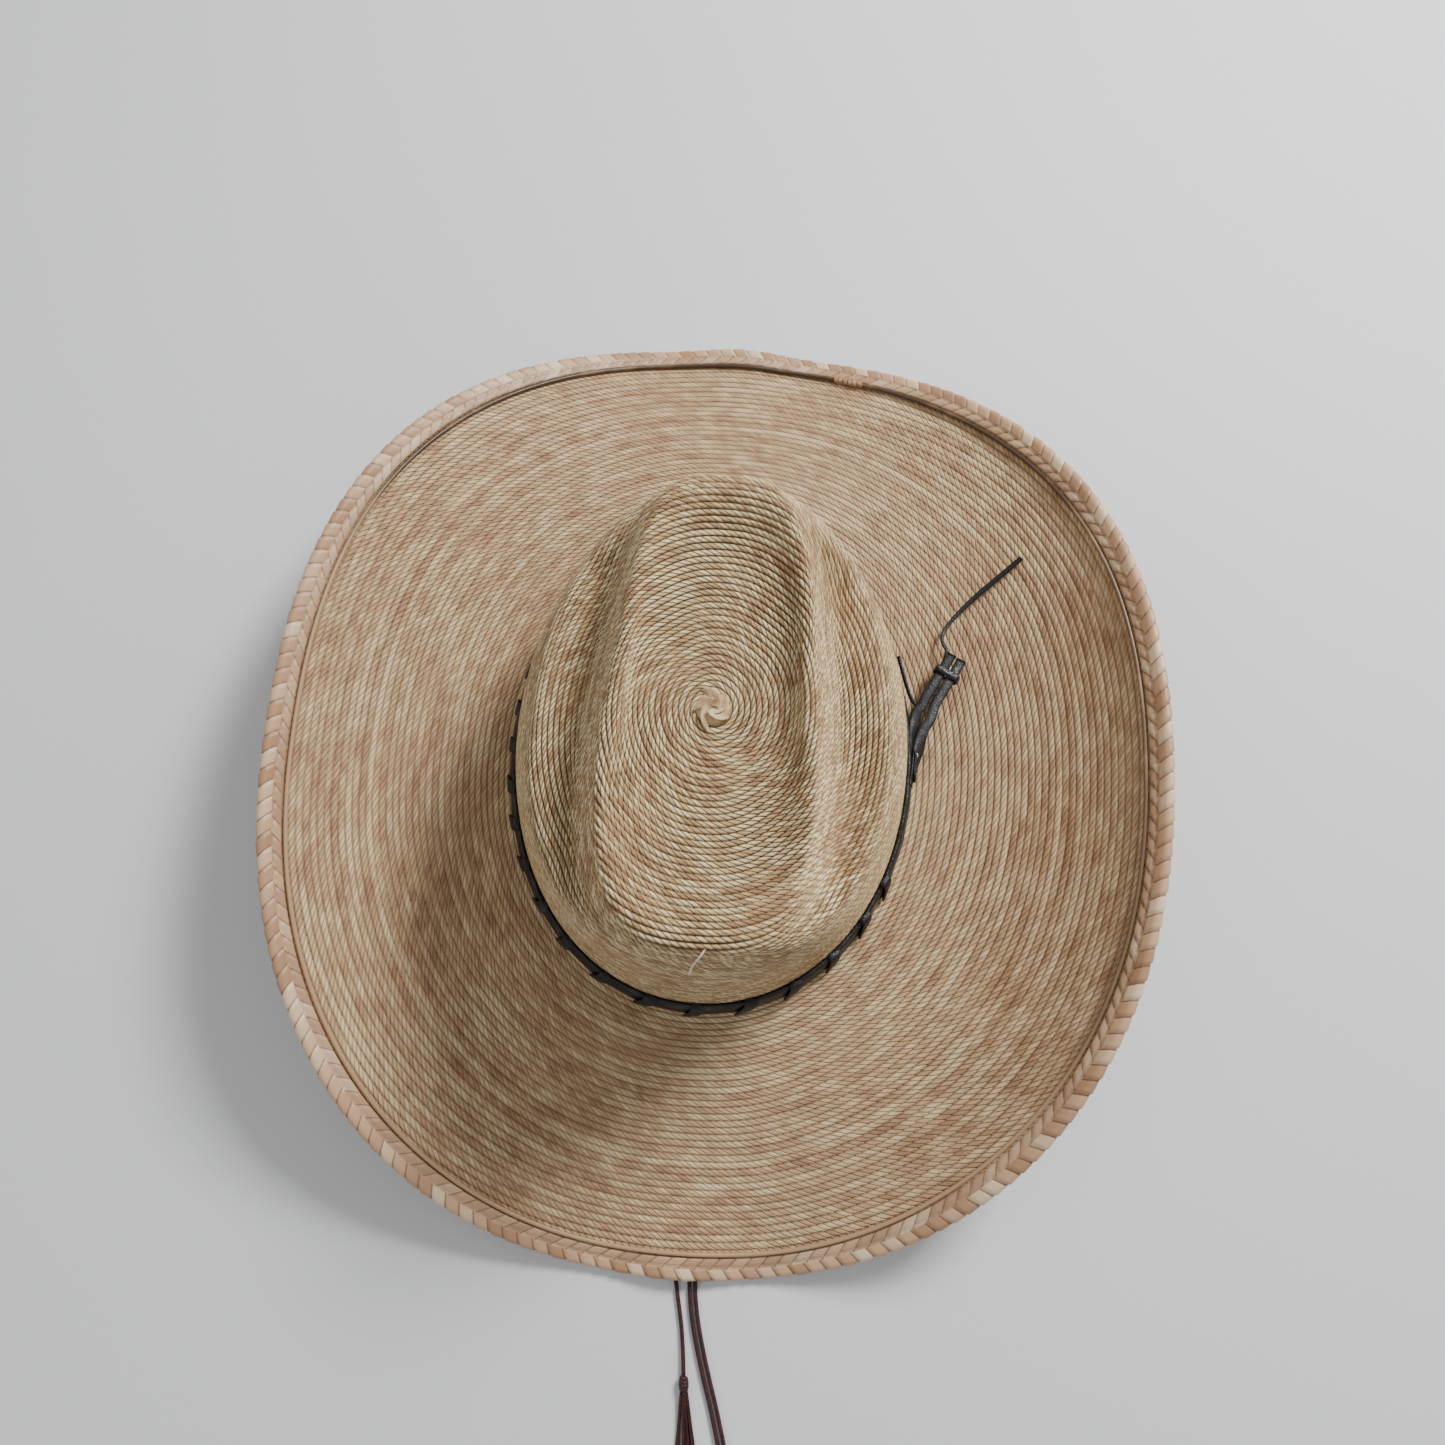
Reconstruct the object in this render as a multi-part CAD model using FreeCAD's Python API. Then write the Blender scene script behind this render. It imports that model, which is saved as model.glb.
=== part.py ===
import FreeCAD, Part
import math
import os
from FreeCAD import Vector

# A palm-leaf western sombrero resting on its brim. Millimetres, +Z up through the
# crown, +Y to the front, +X to the wearer's right, where the band is tied.

# ---- driving dimensions ----
crown_length = 210.0        # outside of the crown where it meets the brim, front to back
crown_width = 170.0
crown_height = 108.0        # rim of the crown above the top of the brim
brim_length = 430.0         # over the plaited edge, front to back
brim_width = 360.0
weave = 2.2                 # thickness of the woven palm
crown_squareness = 2.05     # powers of the two outlines: 2 is an ellipse, more is squarer
brim_squareness = 2.26

side_rise = 76.0            # how far the curl lifts the brim's sides above its fall
brim_fall = 25.5            # how far the brim falls from the crown line to its edge
curl_bias = 0.10            # the right side curls up more than the left by twice this share
edge_arch = 7.0             # shallow arch in the middle of the front and back edges
edge_arch_reach = 25.0

edge_width = 9.5            # plaited edge strip, along the brim
edge_thickness = 4.4
wire_diameter = 1.8         # stiffening wire beside the plait
wire_clearance = 0.5        # under the wire, where the curl brings the brim closest

rim_half_width = 37.0       # top rim of the crown
rim_half_length = 84.0
dent_half_width = 47.0      # bottom of the creases along the crown's sides
dent_half_length = 88.5
dent_depth = 26.0
shoulder_half_width = 66.0  # rounded shoulder outside the creases
shoulder_half_length = 92.5
shoulder_drop = 21.0
wall_height = 42.0          # straight part of the crown's wall
wall_lean = 5.8             # how far the wall leans in over that height
dish_half_width = 25.0      # oval dish in the top
dish_front = 58.0
dish_back = 45.0
dish_depth = 12.0
front_pinch = 0.09          # how much narrower the top is at the front
button_hole = 5.0           # radius where the spiral of the weave starts
collar = 4.0                # height at which the brim's turned-up foot meets the crown

band_height = 10.0
band_thickness = 2.0
band_foot = 2.0             # underside of the hat band above the brim
band_gap = 0.4
lacing_pitch = 18.5

sweat_height = 32.0
sweat_thickness = 1.4
sweat_gap = 0.5
reed_diameter = 2.4

strap_width = 4.4
strap_thickness = 1.6
strap_height = 7.6          # underside of the tie's two straps above the brim plane
strap_gap = 0.7             # between the two straps
strap_lead = 24.0           # straight end of the straps, which the keeper slides on
strap_angle = 62.0          # direction of the straps in plan, from +X
strap_end = Vector(105.2, 53.0, 0)
keeper_length = 3.0
keeper_wall = 0.9
keeper_clearance = 0.35
keeper_place = 9.0          # centre of the keeper back from the straps' ends
lace_diameter = 1.8

cord_diameter = 1.8
knot_length = 7.0
knot_width = 4.6            # a knot in one cord
knot_height = 4.4
pair_spacing = 2.4          # between the two cords on the right
tassel_length = 44.0
tassel_thickness = 1.6
chin_tab_width = 9.0
chin_tab_height = 15.0
chin_tab_thickness = 1.2
chin_tab_gap = 0.9          # between the tab and the reed
chin_hole_diameter = 3.2
chin_tab_drop = 9.0         # how far the tab hangs below the brim plane
chin_tab_place = -6.0       # in Y

samples = 72                # directions in which the closed outlines are placed
face_height = 11.0          # tallest face of a leather strip, which keeps each face easy to mesh
touch = 0.1                 # gap left between pieces that lie against each other


# ---- outlines and profiles ----
def oval(angle, half_width, half_length, power):
    """Polar radius of a squared oval."""
    across = abs(math.cos(angle) / half_width) ** power
    along = abs(math.sin(angle) / half_length) ** power
    return (across + along) ** (-1.0 / power)


def smooth_step(low, high, value):
    share = min(1.0, max(0.0, (value - low) / (high - low)))
    return share * share * (3.0 - 2.0 * share)


def mix(first, second, share):
    return first + (second - first) * share


def base_radius(angle):
    return oval(angle, crown_width / 2, crown_length / 2, crown_squareness)


def edge_radius(angle):
    return oval(angle, brim_width / 2, brim_length / 2, brim_squareness)


def wall_radius(angle, height):
    """Outside of the crown's straight wall."""
    return base_radius(angle) - wall_lean * height / wall_height


def crown_profile(angle):
    """Outer profile of the crown at one direction, as (radius, height) from the top's centre down."""
    pinch = 1.0 - front_pinch * math.sin(angle)
    side = smooth_step(0.30, 0.72, abs(math.cos(angle)))
    top = crown_height
    floor = top - dish_depth
    rim = oval(angle, rim_half_width * pinch, rim_half_length, 3.0)
    dent = oval(angle, dent_half_width * pinch, dent_half_length, 2.8)
    shoulder = oval(angle, shoulder_half_width * (1 + pinch) / 2, shoulder_half_length, 2.3)
    dish_reach = mix(dish_back, dish_front, (1 + math.sin(angle)) / 2)
    dish = oval(angle, dish_half_width, dish_reach, 2.2)
    dent_low = mix(top - 8.0, top - dent_depth, side)
    shoulder_top = top - shoulder_drop
    wall_top = wall_radius(angle, wall_height)
    return [
        (button_hole, floor - 1.0),
        (dish * 0.5, floor - 1.0),
        (dish, floor + 1.0),
        (mix(dish, rim, 0.5), top - 5.0),
        (rim - 5.0, top + 0.5),
        (rim, top),
        (rim + 3.5, mix(top - 3.0, top - 9.0, side)),
        (dent, dent_low),
        (mix(dent, shoulder, 0.5), mix(top - 15.0, dent_low - 1.0, side)),
        (shoulder, shoulder_top),
        (mix(shoulder, wall_top, 0.6), mix(shoulder_top, wall_height, 0.5)),
        (wall_top, wall_height),
        (wall_radius(angle, 28.0), 28.0),
        (wall_radius(angle, 14.0), 14.0),
        (wall_radius(angle, collar), collar),
    ]


def offset_profile(profile, depth):
    """The same profile moved inwards, square to itself."""
    moved = []
    last = len(profile) - 1
    for k, (radius, height) in enumerate(profile):
        before = profile[max(k - 1, 0)]
        after = profile[min(k + 1, last)]
        run = after[0] - before[0]
        fall = after[1] - before[1]
        size = math.hypot(run, fall)
        moved.append((radius + fall / size * depth, height - run / size * depth))
    moved[0] = (profile[0][0], profile[0][1] - depth)
    moved[-1] = (profile[-1][0] - depth, profile[-1][1])
    return moved


def edge_rise(angle):
    """How far the curl lifts the edge in this direction, and the arch in front and behind."""
    share = math.cos(angle) ** 2
    across = edge_radius(angle) * math.cos(angle)
    arch = edge_arch * math.exp(-((across / edge_arch_reach) ** 2))
    curl = side_rise * (1.0 + curl_bias * math.cos(angle))
    return curl * (1.72 * share - 0.72 * share * share), arch


def brim_point(angle, share):
    """(radius, height) of the brim's top, from the crown line (0) to the outer edge (1)."""
    rise, arch = edge_rise(angle)
    radius = mix(base_radius(angle), edge_radius(angle), share)
    height = rise * share ** 2 - brim_fall * share ** 1.2 + arch * share ** 4
    return radius, height


def brim_frame(angle):
    """Where the plait starts: its share of the brim, point and outward slope as (cos, sin)."""
    outer = brim_point(angle, 1.0)
    near = brim_point(angle, 0.97)
    run = outer[0] - near[0]
    rise = outer[1] - near[1]
    size = math.hypot(run, rise)
    along = (run / size, rise / size)
    span = edge_radius(angle) - base_radius(angle)
    share = 1.0 - edge_width * along[0] / span
    return share, brim_point(angle, share), along


def in_space(angle, radius, height):
    return Vector(radius * math.cos(angle), radius * math.sin(angle), height + lift)


# ---- solids that run all the way round ----
def directions():
    return [2 * math.pi * k / samples for k in range(samples)]


def through(points):
    """Poles of a closed cubic spline that passes through these points, in every row."""
    poles = [[Vector(p) for p in row] for row in points]
    count = len(points)
    for _ in range(16):
        fitted = []
        for k in range(count):
            row = []
            for j, wanted in enumerate(points[k]):
                before = poles[k - 1][j]
                after = poles[(k + 1) % count][j]
                reached = (before + poles[k][j] * 4 + after) * (1 / 6)
                row.append(poles[k][j] + (wanted - reached))
            fitted.append(row)
        poles = fitted
    return poles


def ring_face(rows):
    around = len(rows)
    across = len(rows[0])
    degree = min(3, across - 1)
    inner_knots = across - degree - 1
    across_mults = [degree + 1] + [1] * inner_knots + [degree + 1]
    surface = Part.BSplineSurface()
    surface.buildFromPolesMultsKnots(
        through(rows),
        [1] * (around + 1),
        across_mults,
        [float(k) for k in range(around + 1)],
        [float(k) for k in range(len(across_mults))],
        True,
        False,
        3,
        degree,
    )
    return surface.toShape()


def ring_solid(section):
    """A closed ring. section(angle) gives the strips round its section, each from corner to corner."""
    sections = [section(angle) for angle in directions()]
    faces = []
    for k in range(len(sections[0])):
        rows = []
        for angle, strips in zip(directions(), sections):
            rows.append([in_space(angle, radius, height) for radius, height in strips[k]])
        faces.append(ring_face(rows))
    shell = Part.makeShell(faces)
    shell.sewShape(1e-4)
    solid = Part.Solid(shell)
    if solid.Volume < 0:
        solid.reverse()
    return solid


def closed_strips(*sides):
    """Joins the sides of a section end to end, with straight strips where they stand apart."""
    strips = []
    for k, side in enumerate(sides):
        following = sides[(k + 1) % len(sides)]
        strips.append(list(side))
        if side[-1] != following[0]:
            strips.append([side[-1], following[0]])
    return strips


def round_strips(radius, height, diameter):
    """A round section in two halves."""
    r = diameter / 2
    k = 0.55 * diameter
    upper = [(radius - r, height), (radius - r, height + k), (radius, height + 1.22 * r)]
    upper += [(radius + r, height + k), (radius + r, height)]
    lower = [(radius + r, height), (radius + r, height - k), (radius, height - 1.22 * r)]
    lower += [(radius - r, height - k), (radius - r, height)]
    return [upper, lower]


def strap_ring(inner_radius, low, high, thickness):
    """A flat leather strip standing on edge round the crown, its faces in rows no taller than face_height."""
    rows = math.ceil((high - low) / face_height)
    heights = [mix(low, high, k / rows) for k in range(rows + 1)]

    def section(angle):
        inner = [(inner_radius(angle, z), z) for z in heights]
        outer = [(r + thickness, z) for r, z in reversed(inner)]
        pairs = list(zip(inner, inner[1:])) + list(zip(outer, outer[1:]))
        return closed_strips(*pairs)

    return ring_solid(section)


# ---- the woven body ----
def crown_weave():
    def section(angle):
        outer = crown_profile(angle)
        return closed_strips(outer, offset_profile(outer, weave)[::-1])

    return ring_solid(section)


def crown_button():
    """The folded leaf ends at the start of the spiral, over the hole in the tip."""
    floor = lift + crown_height - dish_depth
    plug = Part.makeCylinder(button_hole - touch, weave, Vector(0, 0, floor - 1.0 - weave))
    cap = Part.makeSphere(button_hole * 1.6, Vector(0, 0, floor - button_hole * 1.1))
    cap = cap.common(Part.makeCylinder(button_hole * 1.3, 20, Vector(0, 0, floor - 1.0 + touch)))
    neck = Part.makeCylinder(button_hole * 0.8, 2, Vector(0, 0, floor - 1.5))
    return plug.fuse(neck).fuse(cap).removeSplitter()


def brim_section(angle):
    """The brim and the foot that turns up to meet the crown."""
    end_share = brim_frame(angle)[0]
    foot = wall_radius(angle, collar)
    base = base_radius(angle)
    top = [(foot, collar), (base, 0.8), (base + 3.0, 0.0)]
    top += [brim_point(angle, mix(0.08, end_share, k / 8)) for k in range(9)]
    under = [(r, z - weave) for r, z in top]
    for k in range(3, len(top)):
        before = top[k - 1]
        after = top[min(k + 1, len(top) - 1)]
        slope_run = after[0] - before[0]
        slope_rise = after[1] - before[1]
        length = math.hypot(slope_run, slope_rise)
        under[k] = (top[k][0] + slope_rise / length * weave, top[k][1] - slope_run / length * weave)
    under[0] = (foot - weave, collar)
    under[1] = (base - weave, -1.0)
    under[2] = (base + 1.5, -weave)
    return closed_strips(top, under[::-1])


def brim_weave():
    return ring_solid(brim_section)


def edge_section(angle):
    """The plait folded round the brim's edge: flat faces and a rounded outer side."""
    _, start, along = brim_frame(angle)
    square = (-along[1], along[0])

    def place(out, up):
        radius = start[0] + along[0] * out + square[0] * (up - weave / 2)
        height = start[1] + along[1] * out + square[1] * (up - weave / 2)
        return radius, height

    half = edge_thickness / 2
    inner = touch
    outer = edge_width
    top = [place(inner, half), place(outer - half, half)]
    nose = [place(outer - half, half), place(outer + 0.4, half), place(outer + 0.4, -half)]
    nose.append(place(outer - half, -half))
    under = [place(outer - half, -half), place(inner, -half)]
    return closed_strips(top, nose, under)


def edge_plait():
    return ring_solid(edge_section)


def wire_centre(angle):
    _, start, along = brim_frame(angle)
    back = -(wire_diameter / 2 + 2 * touch)
    up = wire_diameter / 2 + wire_clearance
    return start[0] + along[0] * back - along[1] * up, start[1] + along[1] * back + along[0] * up


def edge_wire():
    def section(angle):
        radius, height = wire_centre(angle)
        return round_strips(radius, height, wire_diameter)

    return ring_solid(section)


def wire_splice():
    """A strip of leaf lashed over the wire where its ends lap."""
    angle = math.radians(75.0)
    radius, height = wire_centre(angle)
    length = 14.0
    plait_side = wire_diameter / 2
    outer = wire_diameter / 2 + 1.0
    inner = wire_diameter / 2 + 0.4
    shape = Part.makeCylinder(outer, length, Vector(0, 0, -length / 2))
    shape = shape.cut(Part.makeCylinder(inner, length + 2, Vector(0, 0, -length / 2 - 1)))
    keep = Part.makeBox(outer + plait_side, outer, length, Vector(-plait_side, 0, -length / 2))
    shape = shape.common(keep)
    ahead = in_space(angle + 0.01, *wire_centre(angle + 0.01))
    behind = in_space(angle - 0.01, *wire_centre(angle - 0.01))
    along = (ahead - behind).normalize()
    _, _, slope = brim_frame(angle)
    up = Vector(-slope[1] * math.cos(angle), -slope[1] * math.sin(angle), slope[0])
    up = (up - along * up.dot(along)).normalize()
    turn = FreeCAD.Rotation(up.cross(along), up, along, "ZXY")
    shape.Placement = FreeCAD.Placement(in_space(angle, radius, height), turn)
    return shape


# ---- inside the crown ----
def inside_radius(angle, height):
    return wall_radius(angle, height) - weave - sweat_gap


def sweatband():
    foot = 0.5

    def inner(angle, height):
        return inside_radius(angle, height) - sweat_thickness

    return strap_ring(inner, foot, foot + sweat_height, sweat_thickness)


def reed_radius(angle):
    return inside_radius(angle, 0.0) - reed_diameter / 2 + touch


def sweatband_reed():
    def section(angle):
        return round_strips(reed_radius(angle), -reed_diameter / 2 + 0.3, reed_diameter)

    return ring_solid(section)


def sweat_face(angle, height, depth):
    """A point in from the sweatband's bare face."""
    return in_space(angle, inside_radius(angle, height) - sweat_thickness - depth, height)


def wall_turn(angle):
    """Turns X square out of the crown's leaning wall and Y along it."""
    step = 0.01
    ahead = in_space(angle + step, wall_radius(angle + step, 0.0), 0.0)
    behind = in_space(angle - step, wall_radius(angle - step, 0.0), 0.0)
    along = (ahead - behind).normalize()
    lean = wall_lean / wall_height
    upward = Vector(-lean * math.cos(angle), -lean * math.sin(angle), 1)
    out = along.cross(upward).normalize()
    return FreeCAD.Rotation(out, along, out.cross(along), "XYZ")


def small_box(centre, angle, length, width, thickness, tilt=0.0):
    """A small flat piece that lies against the crown's wall."""
    box = Part.makeBox(thickness, width, length, Vector(-thickness / 2, -width / 2, -length / 2))
    roll = FreeCAD.Rotation(Vector(1, 0, 0), tilt)
    box.Placement = FreeCAD.Placement(centre, wall_turn(angle).multiply(roll))
    return box


def sweatband_stitches():
    """Zigzag seam near the foot of the sweatband."""
    count = 96
    stitch = 0.5
    solids = []
    for k in range(count):
        angle = 2 * math.pi * k / count
        centre = sweat_face(angle, 4.0, stitch / 2 + touch)
        solids.append(small_box(centre, angle, 5.0, 0.8, stitch, 35.0 * (-1) ** k))
    return Part.makeCompound(solids)


def sweatband_seam():
    """Leather patch over the join at the back of the sweatband."""
    angle = -math.pi / 2
    depth = 1.0
    centre = sweat_face(angle, 20.0, depth / 2 + 0.8)
    return small_box(centre, angle, 22.0, 12.0, depth, 0.0)


def sweatband_bow():
    """Ribbon bow sewn at the foot of the join."""
    angle = -math.pi / 2
    depth = 1.4
    centre = sweat_face(angle, 13.0, 3.3)
    wing = 7.0
    half = 3.2
    waist = 1.2
    outline = [(-wing, -half), (-waist, -waist), (waist, -waist), (wing, -half)]
    outline += [(wing, half), (waist, waist), (-waist, waist), (-wing, half)]
    points = [centre + Vector(x, -depth / 2, z) for x, z in outline]
    face = Part.Face(Part.makePolygon(points + points[:1]))
    return face.extrude(Vector(0, depth, 0))


# ---- the hat band and its tie ----
def band_inner(angle, height):
    return wall_radius(angle, height) + band_gap


def band_outer(angle, height):
    return band_inner(angle, height) + band_thickness


def hat_band():
    return strap_ring(band_inner, band_foot, band_foot + band_height, band_thickness)


def band_lacing():
    """Thongs laced over the band's outer face, all round except at the tie."""
    solids = []
    middle = band_foot + band_height / 2
    count = round(math.pi * (crown_length + crown_width) / 2 / lacing_pitch)
    thong = 1.1
    for k in range(count):
        angle = 2 * math.pi * k / count
        near_tie = -0.5 < (angle + math.pi) % (2 * math.pi) - math.pi < 0.75
        if near_tie:
            continue
        centre = in_space(angle, band_outer(angle, middle) + thong / 2 + 0.25, middle)
        solids.append(small_box(centre, angle, band_height + 1.0, 3.2, thong, 25.0))
    return Part.makeCompound(solids)


def unit(angle_degrees):
    angle = math.radians(angle_degrees)
    return Vector(math.cos(angle), math.sin(angle), 0)


def strap_shape(side, root):
    """One end of the band: a strip that leaves the crown at root and ends beside its twin."""
    along = unit(strap_angle)
    across = Vector(along.y, -along.x, 0)
    offset = side * (strap_width + strap_gap) / 2
    tip = strap_end + across * offset
    bend = tip - along * strap_lead
    middle = (root + bend) * 0.5
    route = [root, middle + (bend - root).cross(Vector(0, 0, 1)) * 0.05, bend]
    left = []
    right = []
    heads = [(route[1] - route[0]), (route[2] - route[0]), along]
    for point, head in zip(route, heads):
        head.normalize()
        normal = Vector(head.y, -head.x, 0) * (strap_width / 2)
        left.append(point - normal)
        right.append(point + normal)
    curves = []
    for row in (left, right):
        curve = Part.BSplineCurve()
        curve.interpolate(Points=row, FinalTangent=along)
        curves.append(curve)
    far_left = tip - across * (strap_width / 2)
    far_right = tip + across * (strap_width / 2)
    edges = [
        curves[0].toShape(),
        Part.makeLine(left[-1], far_left),
        Part.makeLine(far_left, far_right),
        Part.makeLine(far_right, right[-1]),
        curves[1].toShape(),
        Part.makeLine(right[0], left[0]),
    ]
    face = Part.Face(Part.Wire(Part.__sortEdges__(edges)))
    solid = face.extrude(Vector(0, 0, strap_thickness))
    solid.translate(Vector(0, 0, lift + strap_height))
    return solid


def band_strap_front():
    return strap_shape(-1, Vector(88.0, 26.0, 0))


def band_strap_back():
    return strap_shape(1, Vector(91.6, 17.5, 0))


def keeper_frame():
    """Centre and inner half sizes of the keeper."""
    along = unit(strap_angle)
    centre = strap_end - along * keeper_place
    half_across = strap_width + strap_gap / 2 + keeper_clearance
    low = strap_height - lace_diameter - 3 * keeper_clearance
    high = strap_height + strap_thickness + keeper_clearance
    return centre, half_across, low, high


def band_keeper():
    """Loop that holds the two straps and the lace together."""
    centre, half, low, high = keeper_frame()
    outer = half + keeper_wall
    block = Part.makeBox(
        keeper_length, 2 * outer, high - low + 2 * keeper_wall,
        Vector(-keeper_length / 2, -outer, low - keeper_wall),
    )
    hole = Part.makeBox(
        keeper_length + 2, 2 * half, high - low, Vector(-keeper_length / 2 - 1, -half, low)
    )
    shape = block.cut(hole)
    turn = FreeCAD.Rotation(Vector(0, 0, 1), strap_angle)
    shape.Placement = FreeCAD.Placement(centre + Vector(0, 0, lift), turn)
    return shape


def band_tab():
    """Rounded end of the inner strap, lying back along the band."""
    height = band_height - 2.0
    length = 15.0
    thickness = 1.5
    middle = band_foot + band_height / 2
    centre = Vector(band_outer(0.0, middle) + thickness / 2 + 0.5, 3.0, lift + middle)
    box = Part.makeBox(thickness, length, height, centre - Vector(thickness / 2, length / 2, height / 2))
    ends = [edge for edge in box.Edges if abs(edge.CenterOfMass.y - centre.y) > length / 2 - 0.1]
    crosswise = [edge for edge in ends if abs(edge.Length - thickness) < 0.01]
    return box.makeFillet(height / 2 - 0.6, crosswise)


def band_rivet():
    """Domed rivet through the tab."""
    middle = band_foot + band_height / 2
    face = band_outer(0.0, middle) + 1.5 + 0.5 + touch
    place = Vector(face, 7.5, lift + middle)
    disc = Part.makeCylinder(1.9, 0.5, place, Vector(1, 0, 0))
    dome = Part.makeSphere(2.2, place + Vector(-0.9, 0, 0))
    cap = dome.common(Part.makeCylinder(1.7, 3.0, place + Vector(0.2, 0, 0), Vector(1, 0, 0)))
    return disc.fuse(cap).removeSplitter()


def band_tacks():
    """Short black stitches that hold the band to the crown."""
    solids = []
    height = band_foot + band_height + 3.2
    for degrees in (-19.5, 95.0, 178.0):
        angle = math.radians(degrees)
        centre = in_space(angle, wall_radius(angle, height) + 0.6, height)
        solids.append(small_box(centre, angle, 5.0, 1.1, 0.7, 18.0))
    return Part.makeCompound(solids)


# ---- cords ----
def cord_tube(name, points, diameter):
    """A tube of straight runs and tangent arcs, each arc as large as its two runs allow."""
    edges = []
    radii = []
    start = points[0]
    for k in range(1, len(points) - 1):
        before = (points[k] - points[k - 1])
        after = (points[k + 1] - points[k])
        shorter = min(before.Length, after.Length)
        before.normalize()
        after.normalize()
        turn = before.getAngle(after)
        reach = 0.45 * shorter
        radius = reach / math.tan(turn / 2)
        radii.append(radius)
        enter = points[k] - before * reach
        leave = points[k] + after * reach
        bisector = (after - before).normalize()
        centre = points[k] + bisector * (radius / math.cos(turn / 2))
        middle = centre - bisector * radius
        edges.append(Part.LineSegment(start, enter).toShape())
        edges.append(Part.Arc(enter, middle, leave).toShape())
        start = leave
    edges.append(Part.LineSegment(start, points[-1]).toShape())
    path = Part.Wire(edges)
    heading = points[1] - points[0]
    profile = Part.Wire([Part.makeCircle(diameter / 2, points[0], heading)])
    tube = path.makePipeShell([profile], True, False)
    wanted = math.pi * diameter ** 2 / 4 * path.Length
    tight = min(radii) if radii else 0.0
    print(
        f"{name}: length {path.Length:.1f}, tightest arc {tight:.1f},"
        f" volume {tube.Volume / wanted:.4f} of section x length, radii",
        " ".join(f"{r:.0f}" for r in radii),
    )
    return tube


def knot(foot, along, length, width):
    """A tight knot as a rounded barrel, oval in section, with a flat end at foot."""
    across = along.cross(Vector(0, 0, 1)).normalize()
    upright = across.cross(along).normalize()
    oval_edge = Part.makeCircle(1.0, Vector(0, 0, 0), Vector(0, 0, 1))
    face = Part.Face(Part.Wire([oval_edge]))
    barrel = face.extrude(Vector(0, 0, length))
    stretch = FreeCAD.Matrix()
    stretch.scale(Vector(width / 2, knot_height / 2, 1))
    barrel = barrel.transformGeometry(stretch)
    turn = FreeCAD.Rotation(across, upright, along, "ZXY")
    barrel.Placement = FreeCAD.Placement(foot, turn)
    return barrel


def on_table(x, y):
    return Vector(x, y, cord_diameter / 2 + 0.05)


def tab_face(side):
    """Outer face of a chin tab, which hangs inside the reed, as an x distance."""
    angle = math.atan2(chin_tab_place, side * crown_width / 2)
    reed_face = reed_radius(angle) - reed_diameter / 2
    return reed_face * abs(math.cos(angle)) - chin_tab_gap


def chin_tab(side):
    """Leather tab inside the sweatband, with a hole for the chin cord."""
    low = lift - chin_tab_drop
    x = side * (tab_face(side) - chin_tab_thickness / 2)
    plate = Part.makeBox(
        chin_tab_thickness, chin_tab_width, chin_tab_height,
        Vector(x - chin_tab_thickness / 2, chin_tab_place - chin_tab_width / 2, low),
    )
    hole = Part.makeCylinder(
        chin_hole_diameter / 2, 10, Vector(x - 5, chin_tab_place, low + 3.2), Vector(1, 0, 0)
    )
    return plate.cut(hole)


def anchor_heading(side):
    """Direction in which the cord leaves its anchor knot: inwards, back and down."""
    return Vector(-0.40 * side, -0.45, -0.80).normalize()


def anchor_top(side):
    """Upper end of the knot that ties the cord to its tab."""
    x = side * (tab_face(side) - chin_tab_thickness - knot_height / 2 - 0.9)
    return Vector(x, chin_tab_place, lift - chin_tab_drop + 4.4)


def anchor_knot(side, width):
    """Knot inside the tab, with the bight of cord through the tab's hole."""
    lump = knot(anchor_top(side), anchor_heading(side), knot_length - 1.6, width)
    hole = Vector(anchor_top(side))
    hole.z = lift - chin_tab_drop + 3.2
    bight = Part.makeCylinder(
        chin_hole_diameter / 2 - 0.3, knot_height / 2 + chin_tab_thickness + 1.6, hole, Vector(side, 0, 0)
    )
    return lump.fuse(bight)


# Points of the chin cords on the table, as (x, y, height above lying flat).
left_route = [(-67.5, -20.5, 1.8), (-61.5, -33.0, 0), (-55.0, -50.0, 0), (-45.5, -80.0, 0)]
left_route += [(-34.5, -113.0, 0), (-23.0, -146.0, 0), (-10.5, -180.0, 0), (-2.6, -205.0, 0)]
left_route += [(1.2, -222.0, 0), (4.6, -238.0, 0), (5.8, -251.0, 0.7)]
outer_route = [(68.6, -21.0, 1.8), (63.6, -34.0, 0), (57.5, -51.0, 0), (48.5, -82.0, 0)]
outer_route += [(37.0, -115.0, 0), (26.5, -149.0, 0), (13.4, -183.0, 0), (6.0, -207.0, 0)]
outer_route += [(7.6, -226.0, 0), (13.0, -246.0, 0), (20.6, -268.0, 0), (25.6, -286.0, 0.7)]


def beside(route, distance):
    """A route that keeps its distance to the left of another."""
    moved = []
    last = len(route) - 1
    for k, (x, y, raised) in enumerate(route):
        before = route[max(k - 1, 0)]
        after = route[min(k + 1, last)]
        run = after[0] - before[0]
        fall = after[1] - before[1]
        size = math.hypot(run, fall)
        moved.append((x + fall / size * distance, y - run / size * distance, raised))
    return moved


def cord_points(side, route, shift):
    """A chin cord's points, from the lower end of its anchor knot."""
    heading = anchor_heading(side)
    sideways = heading.cross(Vector(0, 0, 1)).normalize() * shift
    start = anchor_top(side) + heading * (knot_length - 1.6) + sideways
    points = [start, start + heading * 9.0]
    for x, y, raised in route:
        points.append(on_table(x, y) + Vector(0, 0, raised))
    return points


def end_heading(route):
    last = Vector(*route[-1][:2], 0)
    before = Vector(*route[-2][:2], 0)
    return (last - before).normalize()


def end_knot(route, width):
    """Knot at the far end of a cord or pair of cords."""
    foot = Vector(*route[-1][:2], knot_height / 2 + 0.05)
    return knot(foot, end_heading(route), knot_length, width)


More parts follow.
